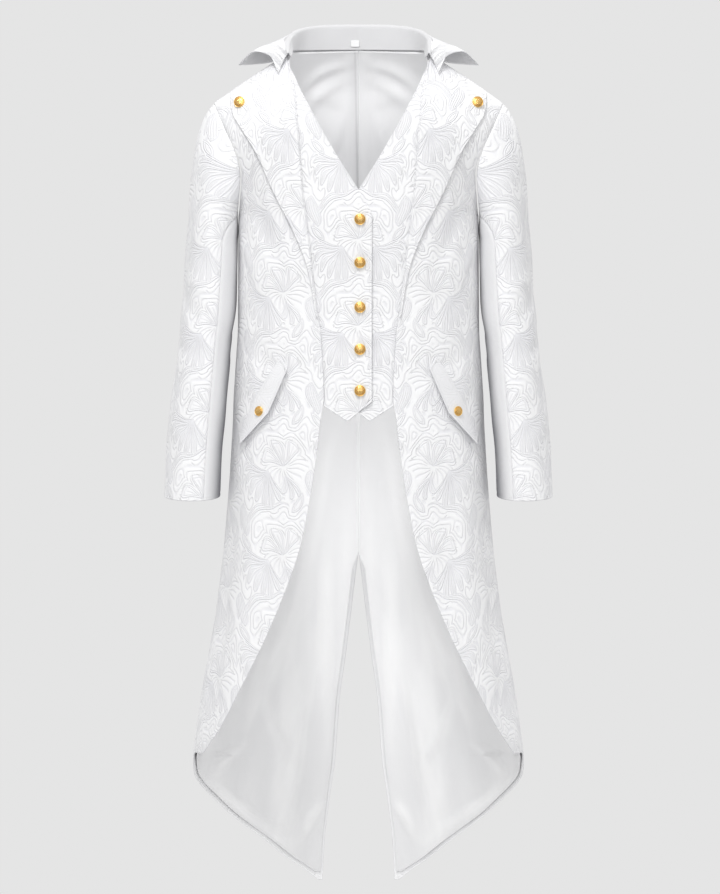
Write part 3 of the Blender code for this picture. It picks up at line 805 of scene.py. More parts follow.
@dataclass
class Sleeves:
    """Two-piece sleeves: the upper one outside and in front, the under one at the body."""

    cuff: float = -0.668
    head: float = -0.270
    cuff_dip: float = 0.008
    seam: float = 0.0012
    radius: float = 0.045
    spacing: float = 0.005
    near_from: float = 0.215
    near_to: float = 0.440
    near_lift: float = 0.0020
    outer: Curve = Curve.over(
        SLEEVE_LEVELS, .3025, .2970, .2915, .2800, .2758, .2690, .2650)
    inner: Curve = Curve.over(
        SLEEVE_LEVELS, .2152, .2105, .2054, .1960, .1918, .1890, .1888)
    depth: Curve = Curve.over(
        SLEEVE_LEVELS, .046, .049, .052, .057, .059, .062, .064)
    forward: Curve = Curve.over(
        SLEEVE_LEVELS, -.036, -.026, -.020, -.011, -.008, -.004, -.003)
    upper_creases: CreaseTable = crease_table(
        (.030, -.40, .110, -.36, .013, -.0026, .008),
        (.020, -.45, .100, -.425, .011, -.0022, -.006),
        (.015, -.36, .070, -.33, .012, .0020, .006),
        (.060, -.20, .085, -.52, .016, -.0024, .010),
        (.100, -.12, .120, -.36, .016, .0020, -.008),
        (.140, -.10, .150, -.30, .014, -.0018, .008),
        (.040, -.54, .060, -.66, .013, -.0016, .004),
        (.090, -.50, .110, -.65, .014, .0016, -.004),
        (.135, -.42, .090, -.47, .012, -.0022, .004),
    )
    under_creases: CreaseTable = crease_table(
        (.010, -.40, .075, -.42, .012, -.0026, .006),
        (.015, -.44, .070, -.455, .011, -.0020, -.004),
        (.020, -.27, .060, -.31, .012, -.0022, .006),
        (.035, -.50, .045, -.65, .012, -.0014, .004),
    )

    def ring(self, turn: Array, height: Array) -> Array:
        """Ellipse round the sleeve below its head, whose front dips at the cuff."""
        outer, inner = self.outer(height), self.inner(height)
        dip = self.cuff_dip * smooth_step(0.55, -self.cuff, -height) * np.sin(turn)
        return np.stack(((outer + inner) / 2 + (outer - inner) / 2 * np.cos(turn),
                         self.forward(height) - self.depth(height) * np.sin(turn),
                         height - dip), axis=-1)

    def armhole(self, turn: Array) -> Array:
        """Closed ring of the armhole; 0 is on the shoulder and 180 degrees at the armpit."""
        middle = (TORSO.shoulder_tip + TORSO.armpit) / 2
        height = middle + (TORSO.shoulder_tip - TORSO.armpit) / 2 * np.cos(turn)
        face = np.where(np.sin(turn) >= 0, 1.0, -1.0)
        return TORSO.surface(face * TORSO.angle_at(TORSO.armhole(height), height), height)

    def point(self, turn: Array, run: Array) -> Array:
        """Sleeve surface: an eased head from run 0 to 1, then a tube down to the cuff at 2.

        Args:
            turn: angle round the sleeve.
            run: way down it.

        Returns:
            Points: the head is a cubic curve that leaves the armhole and meets the tube.
        """
        start, end = self.armhole(turn), self.ring(turn, np.full_like(turn, self.head))
        top = (1 + np.cos(turn)) / 2
        leave = np.stack((mix(0.15, 0.62, top), 0 * top, mix(-0.99, -0.78, top)), axis=-1)
        arrive = np.array((0.10, 0.0, -0.995))
        sideways = np.array((self.seam, 0, 0)) * (1 - top[..., None])
        start = start + leave * self.seam + sideways
        reach = mix(0.012, 0.062, top)[..., None]
        t = np.clip(run, 0, 1)[..., None]
        head = ((1 - t) ** 3 * start + 3 * t * (1 - t) ** 2 * (start + leave * reach)
                + 3 * t * t * (1 - t) * (end - arrive * reach * 1.3) + t ** 3 * end)
        tube = self.ring(turn, mix(self.head, self.cuff, np.clip(run - 1, 0, 1)))
        return np.where(run[..., None] <= 1, head, tube)

    def form(self, under: bool) -> Array:
        """Grid of the upper or under sleeve, from the cuff up to the armhole."""
        head = shares(0.19, self.spacing, last=False)
        runs = np.concatenate((head, 1 + shares(0.40, self.spacing, first=False)[1:]))
        settled = smooth_step(0, 1.2, runs)
        front = math.pi - np.radians(mix(25, 65, settled))
        back = math.pi + np.radians(mix(35, 75, settled))
        start, end = (front, back) if under else (back - 2 * math.pi, front)
        slit = SEAM / 2 / self.radius
        columns = shares(0.09 if under else 0.16, self.spacing)
        turn = mix((start + slit)[:, None], (end - slit)[:, None], columns)
        return self.point(turn, runs[:, None] + 0 * turn)[::-1]

    def place(self, points: Array) -> Array:
        """Place on the flat cut: columns run straight on up the sleeve's head."""
        along, up = arc(points, 1), arc(points, 0)
        across = along[:, -1:] - along
        level = int(np.argmax(points[:, 0, 2] > self.head))
        across[level:] = across[level]
        return np.stack((across, up + points[..., 2].min()), -1)

    def build(self, material: Material, shaded_plain: Material) -> None:
        """Make both upper and both under sleeves."""
        for kind, under, creases in (("upper_sleeve", False, self.upper_creases),
                                     ("under_sleeve", True, self.under_creases)):
            points = self.form(under)
            panel = Panel(kind, points, CLOTH, middle=(0.240, -0.008, -0.42),
                          turned=(Side.FOOT,), creases=creases, seam_depth=0.0014,
                          place=self.place(points))
            if under:
                high, low = -points[..., 2] - self.near_from, self.near_to + points[..., 2]
                panel.relief = self.near_lift * smooth_step(0, 0.04, high) \
                    * smooth_step(0, 0.08, low)
            # The under sleeves take the darker cloth, whose colour holds painted shade.
            panel.make_pair(kind, shaded_plain if under else material)


@dataclass
class Collar:
    """Collar: a stand, a roll and a leaf whose wings spring out over the shoulders."""

    half_stations: int = 70
    bulge_up: float = 0.8
    bulge_out: float = 0.6
    stations: tuple[float, ...] = (0, .20, .40, .55, .70, .80, .90, 1.00)
    rows: dict[str, tuple[float, ...]] = field(default_factory=lambda: {
        "seam_x": (.0, .0450, .0800, .0940, .1020, .1030, .1040, .1052),
        "seam_y": (.0825, .0760, .0570, .0360, .0020, -.0180, -.0390, -.0575),
        "seam_z": (.0246, .0242, .0233, .0228, .0222, .0205, .0160, .0105),
        "roll_x": (.0, .0450, .0790, .0980, .1080, .1100, .1100, .1090),
        "roll_y": (.0875, .0820, .0660, .0420, .0080, -.0140, -.0380, -.0620),
        "roll_z": (.0595, .0588, .0555, .0490, .0395, .0340, .0240, .0150),
        "edge_x": (.0, .0550, .1080, .1520, .1855, .1610, .1380, .1235),
        "edge_y": (.0985, .0950, .0800, .0520, .0050, -.0300, -.0560, -.0800),
        "edge_z": (.0200, .0150, .0090, .0020, -.0010, .0195, .0130, -.0155),
        "fold": (.0030, .0030, .0030, .0030, .0030, .0028, .0024, .0018),
        "bulge": (.006, .006, .008, .010, .012, .008, .006, .003),
    })

    def form(self) -> Array:
        """Grid from the neck seam up the stand, over the roll and down to the free edge."""
        half = shares(0.30, 0.30 / self.half_stations, first=False)
        line = {name: Curve.over(self.stations, *values)(half)
                for name, values in self.rows.items()}

        def place(kind: str) -> Array:
            """Points of one of the collar's lines."""
            return np.stack([line[kind + "_" + axis] for axis in "xyz"], axis=-1)

        seam, roll, edge = place("seam"), place("roll"), place("edge")
        away = (edge - seam) * np.array((1, 1, 0))
        away = away / np.linalg.norm(away, axis=-1, keepdims=True)
        fold, up = line["fold"][:, None], np.array((0.0, 0.0, 1.0))
        inner, outer = roll - away * fold, roll + away * fold
        grid = [mix(seam, inner, share) for share in shares(0.035, 0.004, last=False)]
        grid += [roll + (up * math.sin(a) - away * math.cos(a)) * fold
                 for a in np.linspace(0, math.pi, 9)[1:-1]]
        bulge = (up * self.bulge_up + away * self.bulge_out) * line["bulge"][:, None]
        lift = (outer + edge) / 2 + bulge
        grid += [(1 - t) ** 2 * outer + 2 * t * (1 - t) * lift + t * t * edge
                 for t in shares(0.075, 0.0035, first=False)]
        right = np.stack(grid)
        left = right[:, :0:-1] * np.array((-1, 1, 1))
        return np.concatenate((left, right), axis=1)

    def place(self, points: Array) -> Array:
        """Place on the cloth: round from the centre back, and up from the roll's crest."""
        along, up = arc(points, 1), arc(points, 0)
        middle = points.shape[1] // 2
        crest = int(np.argmax(points[:, middle, 2]))
        return np.stack((np.abs(along - along[:, middle, None]), up - up[crest]), -1)

    def build(self, material: Material) -> None:
        """Make the collar."""
        points = self.form()
        Panel("collar", points, COLLAR, wall_outside=True, middle=(0, 0.02, -0.05),
              turned=(Side.FIRST, Side.LAST, Side.TOP), stitch_in=0.004, stitch_depth=0.0003,
              seam_depth=0.0, uneven=0.0003, place=self.place(points)).make("collar", material)


@dataclass
class PocketFlaps:
    """Slanted pocket flaps with a pointed free edge."""

    stand: float = 0.009
    lift: float = 0.0004
    stations: tuple[float, ...] = (0.0, 0.5, 1.0)
    seam_across: tuple[float, ...] = (.1200, .1510, .1845)
    seam_height: tuple[float, ...] = (-.4520, -.5010, -.5720)
    free_across: tuple[float, ...] = (.1065, .1350, .1760)
    free_height: tuple[float, ...] = (-.4710, -.5400, -.5880)

    def form(self) -> Array:
        """Grid from the sewn edge to the free edge, which stands out from the coat."""
        u, v = np.meshgrid(shares(0.14, 0.004), shares(0.035, 0.003))
        seam_across = Curve.over(self.stations, *self.seam_across)(u)
        seam_height = Curve.over(self.stations, *self.seam_height)(u)
        across = mix(seam_across, np.interp(u, self.stations, self.free_across), v)
        height = mix(seam_height, np.interp(u, self.stations, self.free_height), v)
        points = TORSO.front_at(across, height)
        lift = CLOTH + self.lift + self.stand * v ** 1.5
        return points + outward(points) * lift[..., None]

    def build(self, material: Material) -> None:
        """Make both flaps."""
        Panel("pocket_flap", self.form(), CLOTH, turned=tuple(Side), stitch_in=0.0042,
              stitch_depth=0.0006, uneven=0.0002,
              held="laid").make_pair("pocket_flap", material)


@dataclass
class Buttons:
    """Gilt domed buttons on the waistcoat, the lapels' corners and the pocket flaps."""

    radius: float = 0.0088
    small_radius: float = 0.0078
    height: float = 0.0052
    rings: int = 34
    segments: int = 72
    relief: float = 0.00022
    column: float = 0.0022
    waistcoat: tuple[float, ...] = (-.240, -.307, -.376, -.441, -.505)
    shoulder: Pair = (.1815, -.0605)
    flap: Pair = (.1490, -.5370)
    flap_lift: float = 0.0046
    shoulder_turn: float = 0.6
    shoulder_lift: float = 0.0012
    waistcoat_gap: float = 0.0021

    def seat(self, across: float, height: float, lift: float) -> tuple[Array, Array]:
        """Place and facing of a button on the front, this far above the torso surface."""
        step = np.array((-0.004, 0, 0.004))
        grid = TORSO.front_at(*np.meshgrid(across + step, height + step))
        facing = outward(grid)[1, 1]
        facing = facing * -np.sign(facing[1])
        return grid[1, 1] + facing * lift, facing

    def ornament(self, share: Array, turn: Array) -> Array:
        """Raised ornament on the face, from 0 to 1: a boss, a rosette, beads and a rim.

        Args:
            share: distance from the middle, as a share of the radius.
            turn: angle round the button.

        Returns:
            Sum of bells of the radius, the rosette's times a squared cosine of 4 turns and
            the beads' times a cosine of 22 turns.
        """
        boss = bell(share, 0.13)
        rosette = bell(share - 0.36, 0.15) * np.cos(4 * turn) ** 2
        leaves = bell(share - 0.60, 0.07) * np.cos(4 * turn + math.pi / 2) ** 2 * 0.7
        beads = bell(share - 0.765, 0.045) * (0.5 + 0.5 * np.cos(22 * turn)) * 0.7
        return np.clip(boss + rosette + leaves + beads, 0, 1)

    def mesh(self, name: str, radius: float, place: Array, facing: Array
             ) -> bpy.types.Mesh:
        """Turned profile with its ornament: face, rim, back and shank.

        The face falls by 0.4 of the height with the 2.2th power of the radius, and a bead
        runs round it; below the rim the profile steps in to the shank.
        """
        share = np.linspace(0, 0.90, self.rings)[1:]
        dome = self.height * (1 - 0.40 * (share / 0.97) ** 2.2)
        bead = np.radians(np.linspace(150, -80, 11))
        rim_r = radius * (0.950 + 0.050 * np.cos(bead))
        rim_z = self.height * 0.60 + radius * 0.075 * np.sin(bead)
        back_r = radius * np.array((0.86, 0.50, 0.45, 0.45, 0.40))
        back_z = self.height * np.array((0.32, 0.30, 0.26, 0.03, 0.0))
        r = np.concatenate((share * radius, rim_r, back_r))
        z = np.concatenate((dome, rim_z, back_z))
        turn = np.arange(self.segments) / self.segments * 2 * math.pi
        raised = self.ornament(r[:, None] / radius, turn)
        on_face = (np.arange(len(r)) < len(share))[:, None]
        raised = np.where(on_face, raised, 0.0)
        ring = np.stack((r[:, None] * np.cos(turn), r[:, None] * np.sin(turn),
                         z[:, None] + raised * self.relief), -1).reshape(-1, 3)
        poles = np.array(((0, 0, self.height + self.relief), (0, 0, 0)))
        points = np.concatenate((ring, poles))
        side = np.arange(self.segments)
        after = (side + 1) % self.segments
        start = np.arange(len(r) - 1)[:, None] * self.segments
        below = start + self.segments
        quads = np.stack((start + side, below + side, below + after, start + after), -1)
        top, foot = len(ring), len(ring) + 1
        last = (len(r) - 1) * self.segments
        caps = [(top, a, b) for a, b in zip(side.tolist(), after.tolist())]
        caps += [(foot, last + b, last + a) for a, b in zip(side.tolist(), after.tolist())]
        tilt = Vector((0, 0, 1)).rotation_difference(Vector(facing)).to_matrix()
        points = points @ np.array(tilt).T + place
        mesh = bpy.data.meshes.new(name)
        mesh.from_pydata(points.tolist(), [], quads.reshape(-1, 4).tolist() + caps)
        height = np.concatenate((np.where(on_face, raised, 0.8).reshape(-1), (1.0, 0.0)))
        angle = np.concatenate((np.tile(turn, len(r)), (0.0, 0.0)))
        corner = np.empty(len(mesh.loops), dtype=np.int32)
        mesh.loops.foreach_get("vertex_index", corner)
        layer = mesh.uv_layers.new(name="Relief")
        layer.data.foreach_set("uv", np.stack((height[corner], angle[corner]), -1).reshape(-1))
        mesh.shade_smooth()
        return mesh

    def build(self, material: Material) -> None:
        """Make all nine buttons."""
        def make(node: str, radius: float, seat: tuple[Array, Array]) -> None:
            """Build one button in the place of its solid."""
            stand_for(node, "gilt", self.mesh(node, radius, *seat), material)

        low = SEAM - (CLOTH + self.waistcoat_gap)
        for number, height in enumerate(self.waistcoat, 1):
            make(f"waistcoat_button_{number}", self.radius,
                 self.seat(self.column, height, low))
        for side, name in ((1, "left"), (-1, "right")):
            across, height = self.shoulder
            place, facing = self.seat(side * across, height,
                                      CLOTH + LAYER + SEAM + self.shoulder_lift)
            facing = mix(facing, np.array((0.0, -1.0, 0.0)), self.shoulder_turn)
            make(f"shoulder_button_{name}", self.radius,
                 (place, facing / np.linalg.norm(facing)))
            across, height = self.flap
            make(f"flap_button_{name}", self.small_radius,
                 self.seat(side * across, height, CLOTH + self.flap_lift))


@dataclass
class NeckLabel:
    """Blank tape label sewn inside the collar's stand at the centre back."""

    width: float = 0.014
    thickness: float = 0.0008
    length: float = 0.011
    side: float = -0.0054
    level: float = 0.0345
    back: float = 0.07944
    lean: float = 0.0573
    turn: float = 4.0

    def form(self) -> Array:
        """Flat grid whose corners are pulled in, leant back and turned as the stand is."""
        u, v = np.meshgrid(np.linspace(-1, 1, 25), np.linspace(-1, 1, 21))
        corner = 1 - 0.10 * (u * v) ** 6
        x, z = self.width / 2 * u * corner, self.length / 2 * v * corner
        y = self.thickness / 2 + self.lean * z
        turn = math.radians(self.turn)
        return np.stack((x * math.cos(turn) - y * math.sin(turn) + self.side,
                         x * math.sin(turn) + y * math.cos(turn) + self.back,
                         z + self.level), -1)

    def build(self, material: Material) -> None:
        """Make the label."""
        Panel("neck_label", self.form(), self.thickness, middle=(0, -0.1, self.level),
              turned=tuple(Side), slot="label_tape", held="laid", stitch_in=0.0011,
              stitch_depth=0.00006, uneven=0.0).make("neck_label", material)


def math_method(operation: str, swapped: bool = False) -> Callable:
    """Method of a wire that adds a Math node; swapped, the other number comes first."""
    def method(wire: Wire, other: Wire | float) -> Wire:
        """The operation on the wire and another number."""
        return wire.graph.math(operation, *((other, wire) if swapped else (wire, other)))
    return method


class Wire:
    """A shader socket that is worked with as a number."""

    def __init__(self, graph: Graph, socket: bpy.types.NodeSocket) -> None:
        """Keep the graph and the socket."""
        self.graph, self.socket = graph, socket

    __add__, __radd__ = math_method("ADD"), math_method("ADD", True)
    __sub__, __rsub__ = math_method("SUBTRACT"), math_method("SUBTRACT", True)
    __mul__, __rmul__ = math_method("MULTIPLY"), math_method("MULTIPLY", True)
    __truediv__, __pow__ = math_method("DIVIDE"), math_method("POWER")

    def __neg__(self) -> Wire:
        """Opposite."""
        return self * -1.0


class Graph:
    """Node tree of one material, built from Python expressions."""

    def __init__(self, name: str) -> None:
        """Make a material that holds a Principled shader."""
        self.material = bpy.data.materials.new(name)
        self.material.use_nodes = True
        self.tree = self.material.node_tree
        self.shader = self.tree.nodes["Principled BSDF"]

    def node(self, kind: str, settings: dict | None = None, inputs: dict | None = None
             ) -> bpy.types.Node:
        """Add any node.

        Args:
            kind: the node's type.
            settings: its own settings, set first.
            inputs: values or wires of its sockets, by name or number.

        Returns:
            The node.
        """
        made = self.tree.nodes.new(kind)
        for key, value in (settings or {}).items():
            setattr(made, key, value)
        for key, value in (inputs or {}).items():
            if isinstance(value, Wire):
                self.tree.links.new(value.socket, made.inputs[key])
            else:
                made.inputs[key].default_value = value
        return made

    def wired(self, kind: str, settings: dict | None = None, inputs: dict | None = None,
              output: int | str = 0) -> Wire:
        """Add any node and take one of its outputs."""
        return Wire(self, self.node(kind, settings, inputs).outputs[output])

    def math(self, operation: str, *values: Wire | float) -> Wire:
        """Add a Math node on wires and numbers."""
        return self.wired("ShaderNodeMath", {"operation": operation}, dict(enumerate(values)))

    def mixed(self, share: Wire | float, start: tuple | Wire, end: tuple | Wire) -> Wire:
        """Blend two colours."""
        return self.wired("ShaderNodeMix", {"data_type": "RGBA"},
                          {0: share, 6: start, 7: end}, 2)

    def feed(self, name: str, value: Wire | float | tuple) -> None:
        """Set one of the shader's sockets."""
        if isinstance(value, Wire):
            self.tree.links.new(value.socket, self.shader.inputs[name])
        else:
            self.shader.inputs[name].default_value = value

    def uv(self, layer: str) -> Wire:
        """One of the piece's UV maps, as a vector in metres."""
        return self.wired("ShaderNodeUVMap", {"uv_map": layer})

    def place(self) -> Wire:
        """Place on the piece, in metres."""
        return self.wired("ShaderNodeTexCoord", output="Object")

    def split(self, vector: Wire) -> tuple[Wire, Wire]:
        """First two numbers of a vector."""
        made = self.node("ShaderNodeSeparateXYZ", None, {0: vector})
        return Wire(self, made.outputs[0]), Wire(self, made.outputs[1])

    def join(self, x: Wire | float, y: Wire | float) -> Wire:
        """Flat vector of two numbers."""
        return self.wired("ShaderNodeCombineXYZ", None, {0: x, 1: y})

    def vector(self, operation: str, *values: Wire | tuple) -> Wire:
        """Add a Vector Math node, whose length comes out as a number."""
        return self.wired("ShaderNodeVectorMath", {"operation": operation},
                          dict(enumerate(values)), int(operation == "LENGTH"))

    def settled(self, vector: Wire, centre: Pair, turn: float) -> Wire:
        """Place seen from a motif: moved to its centre and turned back.

        Args:
            vector: place on the repeat, in metres.
            centre: the motif's own place there.
            turn: its turn against the clock, in degrees.

        Returns:
            The local place.
        """
        return self.wired("ShaderNodeMapping", {"vector_type": "TEXTURE"},
                          {"Vector": vector, "Location": (*centre, 0.0),
                           "Rotation": (0.0, 0.0, math.radians(turn))})

    def noise(self, vector: Wire, scale: float, detail: float = 2.0) -> Wire:
        """Cloudy number from 0 to 1; scale is the count of clouds in a metre."""
        return self.wired("ShaderNodeTexNoise", None,
                          {"Vector": vector, "Scale": scale, "Detail": detail})

    def least(self, *values: Wire | float) -> Wire:
        """Smallest of some numbers."""
        return reduce(partial(self.math, "MINIMUM"), values)

    def most(self, *values: Wire | float) -> Wire:
        """Largest of some numbers."""
        return reduce(partial(self.math, "MAXIMUM"), values)

    def ramp(self, value: Wire, low: float, high: float) -> Wire:
        """Rise from 0 to 1 between two values, without corners."""
        return self.wired("ShaderNodeMapRange", {"interpolation_type": "SMOOTHSTEP"},
                          {0: value, 1: low, 2: high})

    def ridge(self, value: Wire, half: float) -> Wire:
        """1 where a number is 0, falling to 0 at this distance from it."""
        return self.ramp(self.math("ABSOLUTE", value), half, 0.0)

    def lines(self, value: Wire, pitch: float, half: float) -> Wire:
        """1 on evenly spaced lines of a distance, falling to 0 at this way from each."""
        return self.ridge(self.math("WRAP", value, pitch / 2, -pitch / 2), half)

    def wave(self, value: Wire, length: float) -> Wire:
        """Sine of a distance, from -1 to 1, with this wavelength."""
        return self.math("SINE", value * (2 * math.pi / length))

    def bump(self, height: Wire, distance: float) -> None:
        """Raise the surface by a height from 0 to 1 times a distance in metres."""
        self.feed("Normal", self.wired("ShaderNodeBump", None,
                                       {"Distance": distance, "Height": height}))


class SprayLines(NamedTuple):
    """What a spray gives the pattern, all in metres."""

    edge: Wire
    across: Wire
    arch: Wire


@dataclass(frozen=True)
class Spray:
    """Teardrop fingers or petals that radiate from one point of the repeat."""

    centre: Pair
    turn: float
    step: float
    half_turn: float
    length: float
    fullness: float
    droop: float = 0.0
    shorter: float = 0.0

    def drawn(self, graph: Graph, place: Wire) -> SprayLines:
        """Distance to the spray, place across a finger and scalloped radius.

        The angle from the spray's axis bends with the square of the radius; it is wrapped
        to one finger, and times the radius it is the distance from the finger's middle,
        less a half width that swells with the radius towards a round end. Fingers away
        from the axis may be shorter. The scalloped radius grows with the square of the
        angle from a finger's middle.
        """
        local = graph.settled(place, self.centre, self.turn)
        x, y = graph.split(local)
        radius = graph.vector("LENGTH", local)
        share = radius / self.length
        angle = graph.math("ARCTAN2", y, x)
        if self.droop:
            angle = angle + share * share * self.droop
        step = math.radians(self.step)
        outer = graph.math("ABSOLUTE", angle)
        reach = share * (1.0 + outer * outer * self.shorter) if self.shorter else share
        swell = graph.math("SQRT", graph.most(1.0 - reach ** 6.0, 0.0))
        finger = graph.math("WRAP", angle, step / 2, -step / 2)
        across = graph.math("ABSOLUTE", finger) * radius
        edge = across - (radius * (step * self.fullness)) * swell
        beyond = graph.most((reach - 1.0) * (self.length * 0.6),
                            (outer - math.radians(self.half_turn)) * (self.length * 0.4))
        arch = radius + finger * finger * self.length
        return SprayLines(graph.most(edge, beyond), across, arch)


@dataclass(frozen=True)
class Leaf:
    """Pointed oval leaf of the repeat: what two circles share."""

    centre: Pair
    turn: float
    wide: float
    tall: float

    def drawn(self, graph: Graph, place: Wire) -> tuple[Wire, Wire]:
        """Distance to the leaf, below 0 inside, and the place across it."""
        radius = (self.wide ** 2 + self.tall ** 2) / (2 * self.wide)
        local = graph.settled(place, self.centre, self.turn)
        folded = graph.vector("ADD", graph.vector("ABSOLUTE", local),
                              (radius - self.wide, 0.0, 0.0))
        return graph.vector("LENGTH", folded) - radius, graph.split(local)[0]


@dataclass(frozen=True)
class Stem:
    """Curved stem of the repeat: an arc of a circle that thins from one end to the other."""

    centre: Pair
    turn: float
    radius: float
    half_run: float
    thick: float
    thin: float

    def drawn(self, graph: Graph, place: Wire) -> Wire:
        """Distance to the stem, below 0 inside."""
        local = graph.settled(place, self.centre, self.turn)
        along, up = graph.split(local)
        off = graph.math("ABSOLUTE", graph.vector("LENGTH", local) - self.radius)
        share = graph.ramp(along, self.half_run, -self.half_run)
        swell = graph.math("SQRT", graph.most(1.0 - (1.0 - share) ** 2.0, 0.0))
        half = share * (1.0 - share) * (4 * self.thick) * swell + self.thin
        end = graph.math("ABSOLUTE", along) - self.half_run
        return graph.most(off - half, end, -up)


@dataclass(frozen=True)
class Brocade:
    """White jacquard: lotus flowers, fans, stems and hatched leaves in a half-drop repeat."""

    name: str = "white brocade"
    ground: Colour = (.930, .930, .938, 1)
    figure: Colour = (.875, .875, .905, 1)
    line: Colour = (.640, .640, .715, 1)
    repeat: Pair = (0.118, 0.134)
    line_half: float = 0.0015
    ring_from: float = 0.0042
    ring_pitch: float = 0.0056
    petal_end: float = 0.0415
    petal_pitch: float = 0.0046
    melt: float = 0.010
    sway: float = 0.0030
    relief: float = 0.0015
    raised: float = 0.25
    sunk: float = 0.62
    show: float = 1.0
    reverse_loss: float = 0.85
    figure_share: float = 0.18
    line_share: float = 0.10
    line_cloud: float = 0.36
    # Painted shade: this share, the colour and the half width below draw a thin dark line
    # along every turned edge.
    edge_shade_share: float = 0.34
    rim: Colour = (.420, .420, .440, 1)
    edge_shade_half: float = 0.0013
    # Below this height on the cut the figures fade out and the cloth takes the next colour:
    # plain, and darkened as painted shade inside the collar's stand.
    plain_below: float | None = None
    shaded_plain: Colour = (.680, .680, .690, 1)
    # Painted shade: a darker colour across the middle of the under sleeve; it fades out
    # towards the front and back seams between the places in the next two pairs, counted from
    # the back seam.
    painted_shade: Colour | None = None
    painted_shade_front: Pair = (0.112, 0.066)
    painted_shade_back: Pair = (0.0, 0.045)
    flower: Spray = Spray((.000, .000), 66, 54, 81, .040, .36, 0, .04)
    fan: Spray = Spray((.0215, -.0150), -46, 17, 68, .058, .40, .30, .34)
    tuft: Spray = Spray((-.0060, -.0140), -112, 26, 39, .036, .34, -.30, .10)
    stem: Stem = Stem((-.0010, -.1380), -37, .0763, .050, .0050, .0008)
    leaf: Leaf = Leaf((.0690, -.0930), -8, .0105, .0250)
    bud: Leaf = Leaf((.0640, .0040), -52, .0060, .0160)
    sprig: Leaf = Leaf((-.0220, -.0560), 24, .0062, .0170)

    def swayed(self, graph: Graph, cut: Wire) -> tuple[Wire, Wire]:
        """Bend the cloth's place by slow waves that have the repeat's own periods.

        Args:
            graph: the finish's node tree.
            cut: place on the cloth.

        Returns:
            The bent place, and one more slow wave from -1 to 1. The waves run on x over
            the repeat's width, and on y over its height less half that share of x.
        """
        wide, tall = self.repeat
        x, y = graph.split(cut)
        over = x / wide
        up = y / tall - over * 0.5
        bend = graph.wave(up * 2.0 + over, 1.0) * self.sway
        lean = graph.wave(over * 2.0 - up + 0.3, 1.0) * self.sway
        swell = graph.wave(up * 3.0 - over + 0.1, 1.0) * graph.wave(over * 2.0 + up, 1.0)
        return graph.vector("ADD", cut, graph.join(bend, lean)), swell

    def wrapped(self, graph: Graph, cut: Wire, centre: Pair) -> Wire:
        """Place in the repeat whose motif group has this centre.

        The column is the nearest whole number of repeats across; each next column drops by
        half a repeat, and what is left is wrapped to half a repeat either way.
        """
        wide, tall = self.repeat
        x, y = graph.split(graph.vector("SUBTRACT", cut, (*centre, 0.0)))
        column = graph.math("ROUND", x / wide)
        dropped = graph.join(x, y - column * (tall / 2))
        half = (wide / 2, tall / 2, 1.0)
        local = graph.vector("WRAP", dropped, half, tuple(-v for v in half))
        return graph.vector("ADD", local, (*centre, 0.0))

    def material(self) -> Material:
        """Build the finish: outlines, echo lines, raised figures, weave and stitching."""
        graph = Graph(self.name)
        cut = graph.uv("Cut")
        bent, swell = self.swayed(graph, cut)
        lotus = self.wrapped(graph, bent, (0.004, 0.008))
        spray = self.wrapped(graph, bent, (0.044, -0.040))
        growth = self.wrapped(graph, bent, (0.036, -0.088))
        flower = self.flower.drawn(graph, lotus)
        tuft = self.tuft.drawn(graph, lotus)
        fan = self.fan.drawn(graph, spray)
        stem = self.stem.drawn(graph, growth)
        leaf, leaf_across = self.leaf.drawn(graph, growth)
        bud, _ = self.bud.drawn(graph, spray)
        small = self.wrapped(graph, bent, (-0.030, -0.036))
        sprig, _ = self.sprig.drawn(graph, small)
        near = graph.least(flower.edge, fan.edge, tuft.edge, stem, leaf, bud, sprig)

        outline = graph.ridge(near, self.line_half)
        inner = graph.ridge(near + 0.0030, self.line_half * 0.8)
        outside = graph.ramp(near, 0.0, 0.0014)
        inside = 1.0 - outside
        clear = graph.ramp(near, 0.0012, 0.0030)
        scallop = flower.arch - self.petal_end
        around = scallop
        for field in (fan.edge, tuft.edge, stem, leaf, bud, sprig):
            around = graph.math("SMOOTH_MIN", around, field, self.melt)
        rise = around + swell * 0.0022 - self.ring_from
        rings = graph.lines(rise, self.ring_pitch, self.ring_pitch * LINE_HALF) \
            * graph.ramp(rise, -0.0016, -0.0004) * clear
        petals = graph.lines(flower.edge - 0.0040, self.petal_pitch,
                             self.petal_pitch * LINE_HALF) \
            * graph.ramp(flower.edge, 0.0024, 0.0034) * graph.ramp(scallop, 0.0, -0.0012) \
            * graph.ramp(flower.arch, 0.008, 0.014) * clear
        veins = graph.most(
            graph.ridge(fan.across, 0.0010) * graph.ramp(fan.edge, 0.0, -0.0016),
            graph.ridge(flower.across, 0.0010) * graph.ramp(flower.edge, -0.0030, -0.0050),
            graph.ridge(tuft.across, 0.0009) * graph.ramp(tuft.edge, 0.0, -0.0014))
        ribs = (graph.wave(leaf_across, 0.0036) * 0.5 + 0.5) * graph.ramp(leaf, 0.0, -0.0016)
        lines = graph.most(outline * 0.9, inner * 0.6, rings * 0.75, petals * 0.7, veins * 0.5,
                           ribs * 0.6)

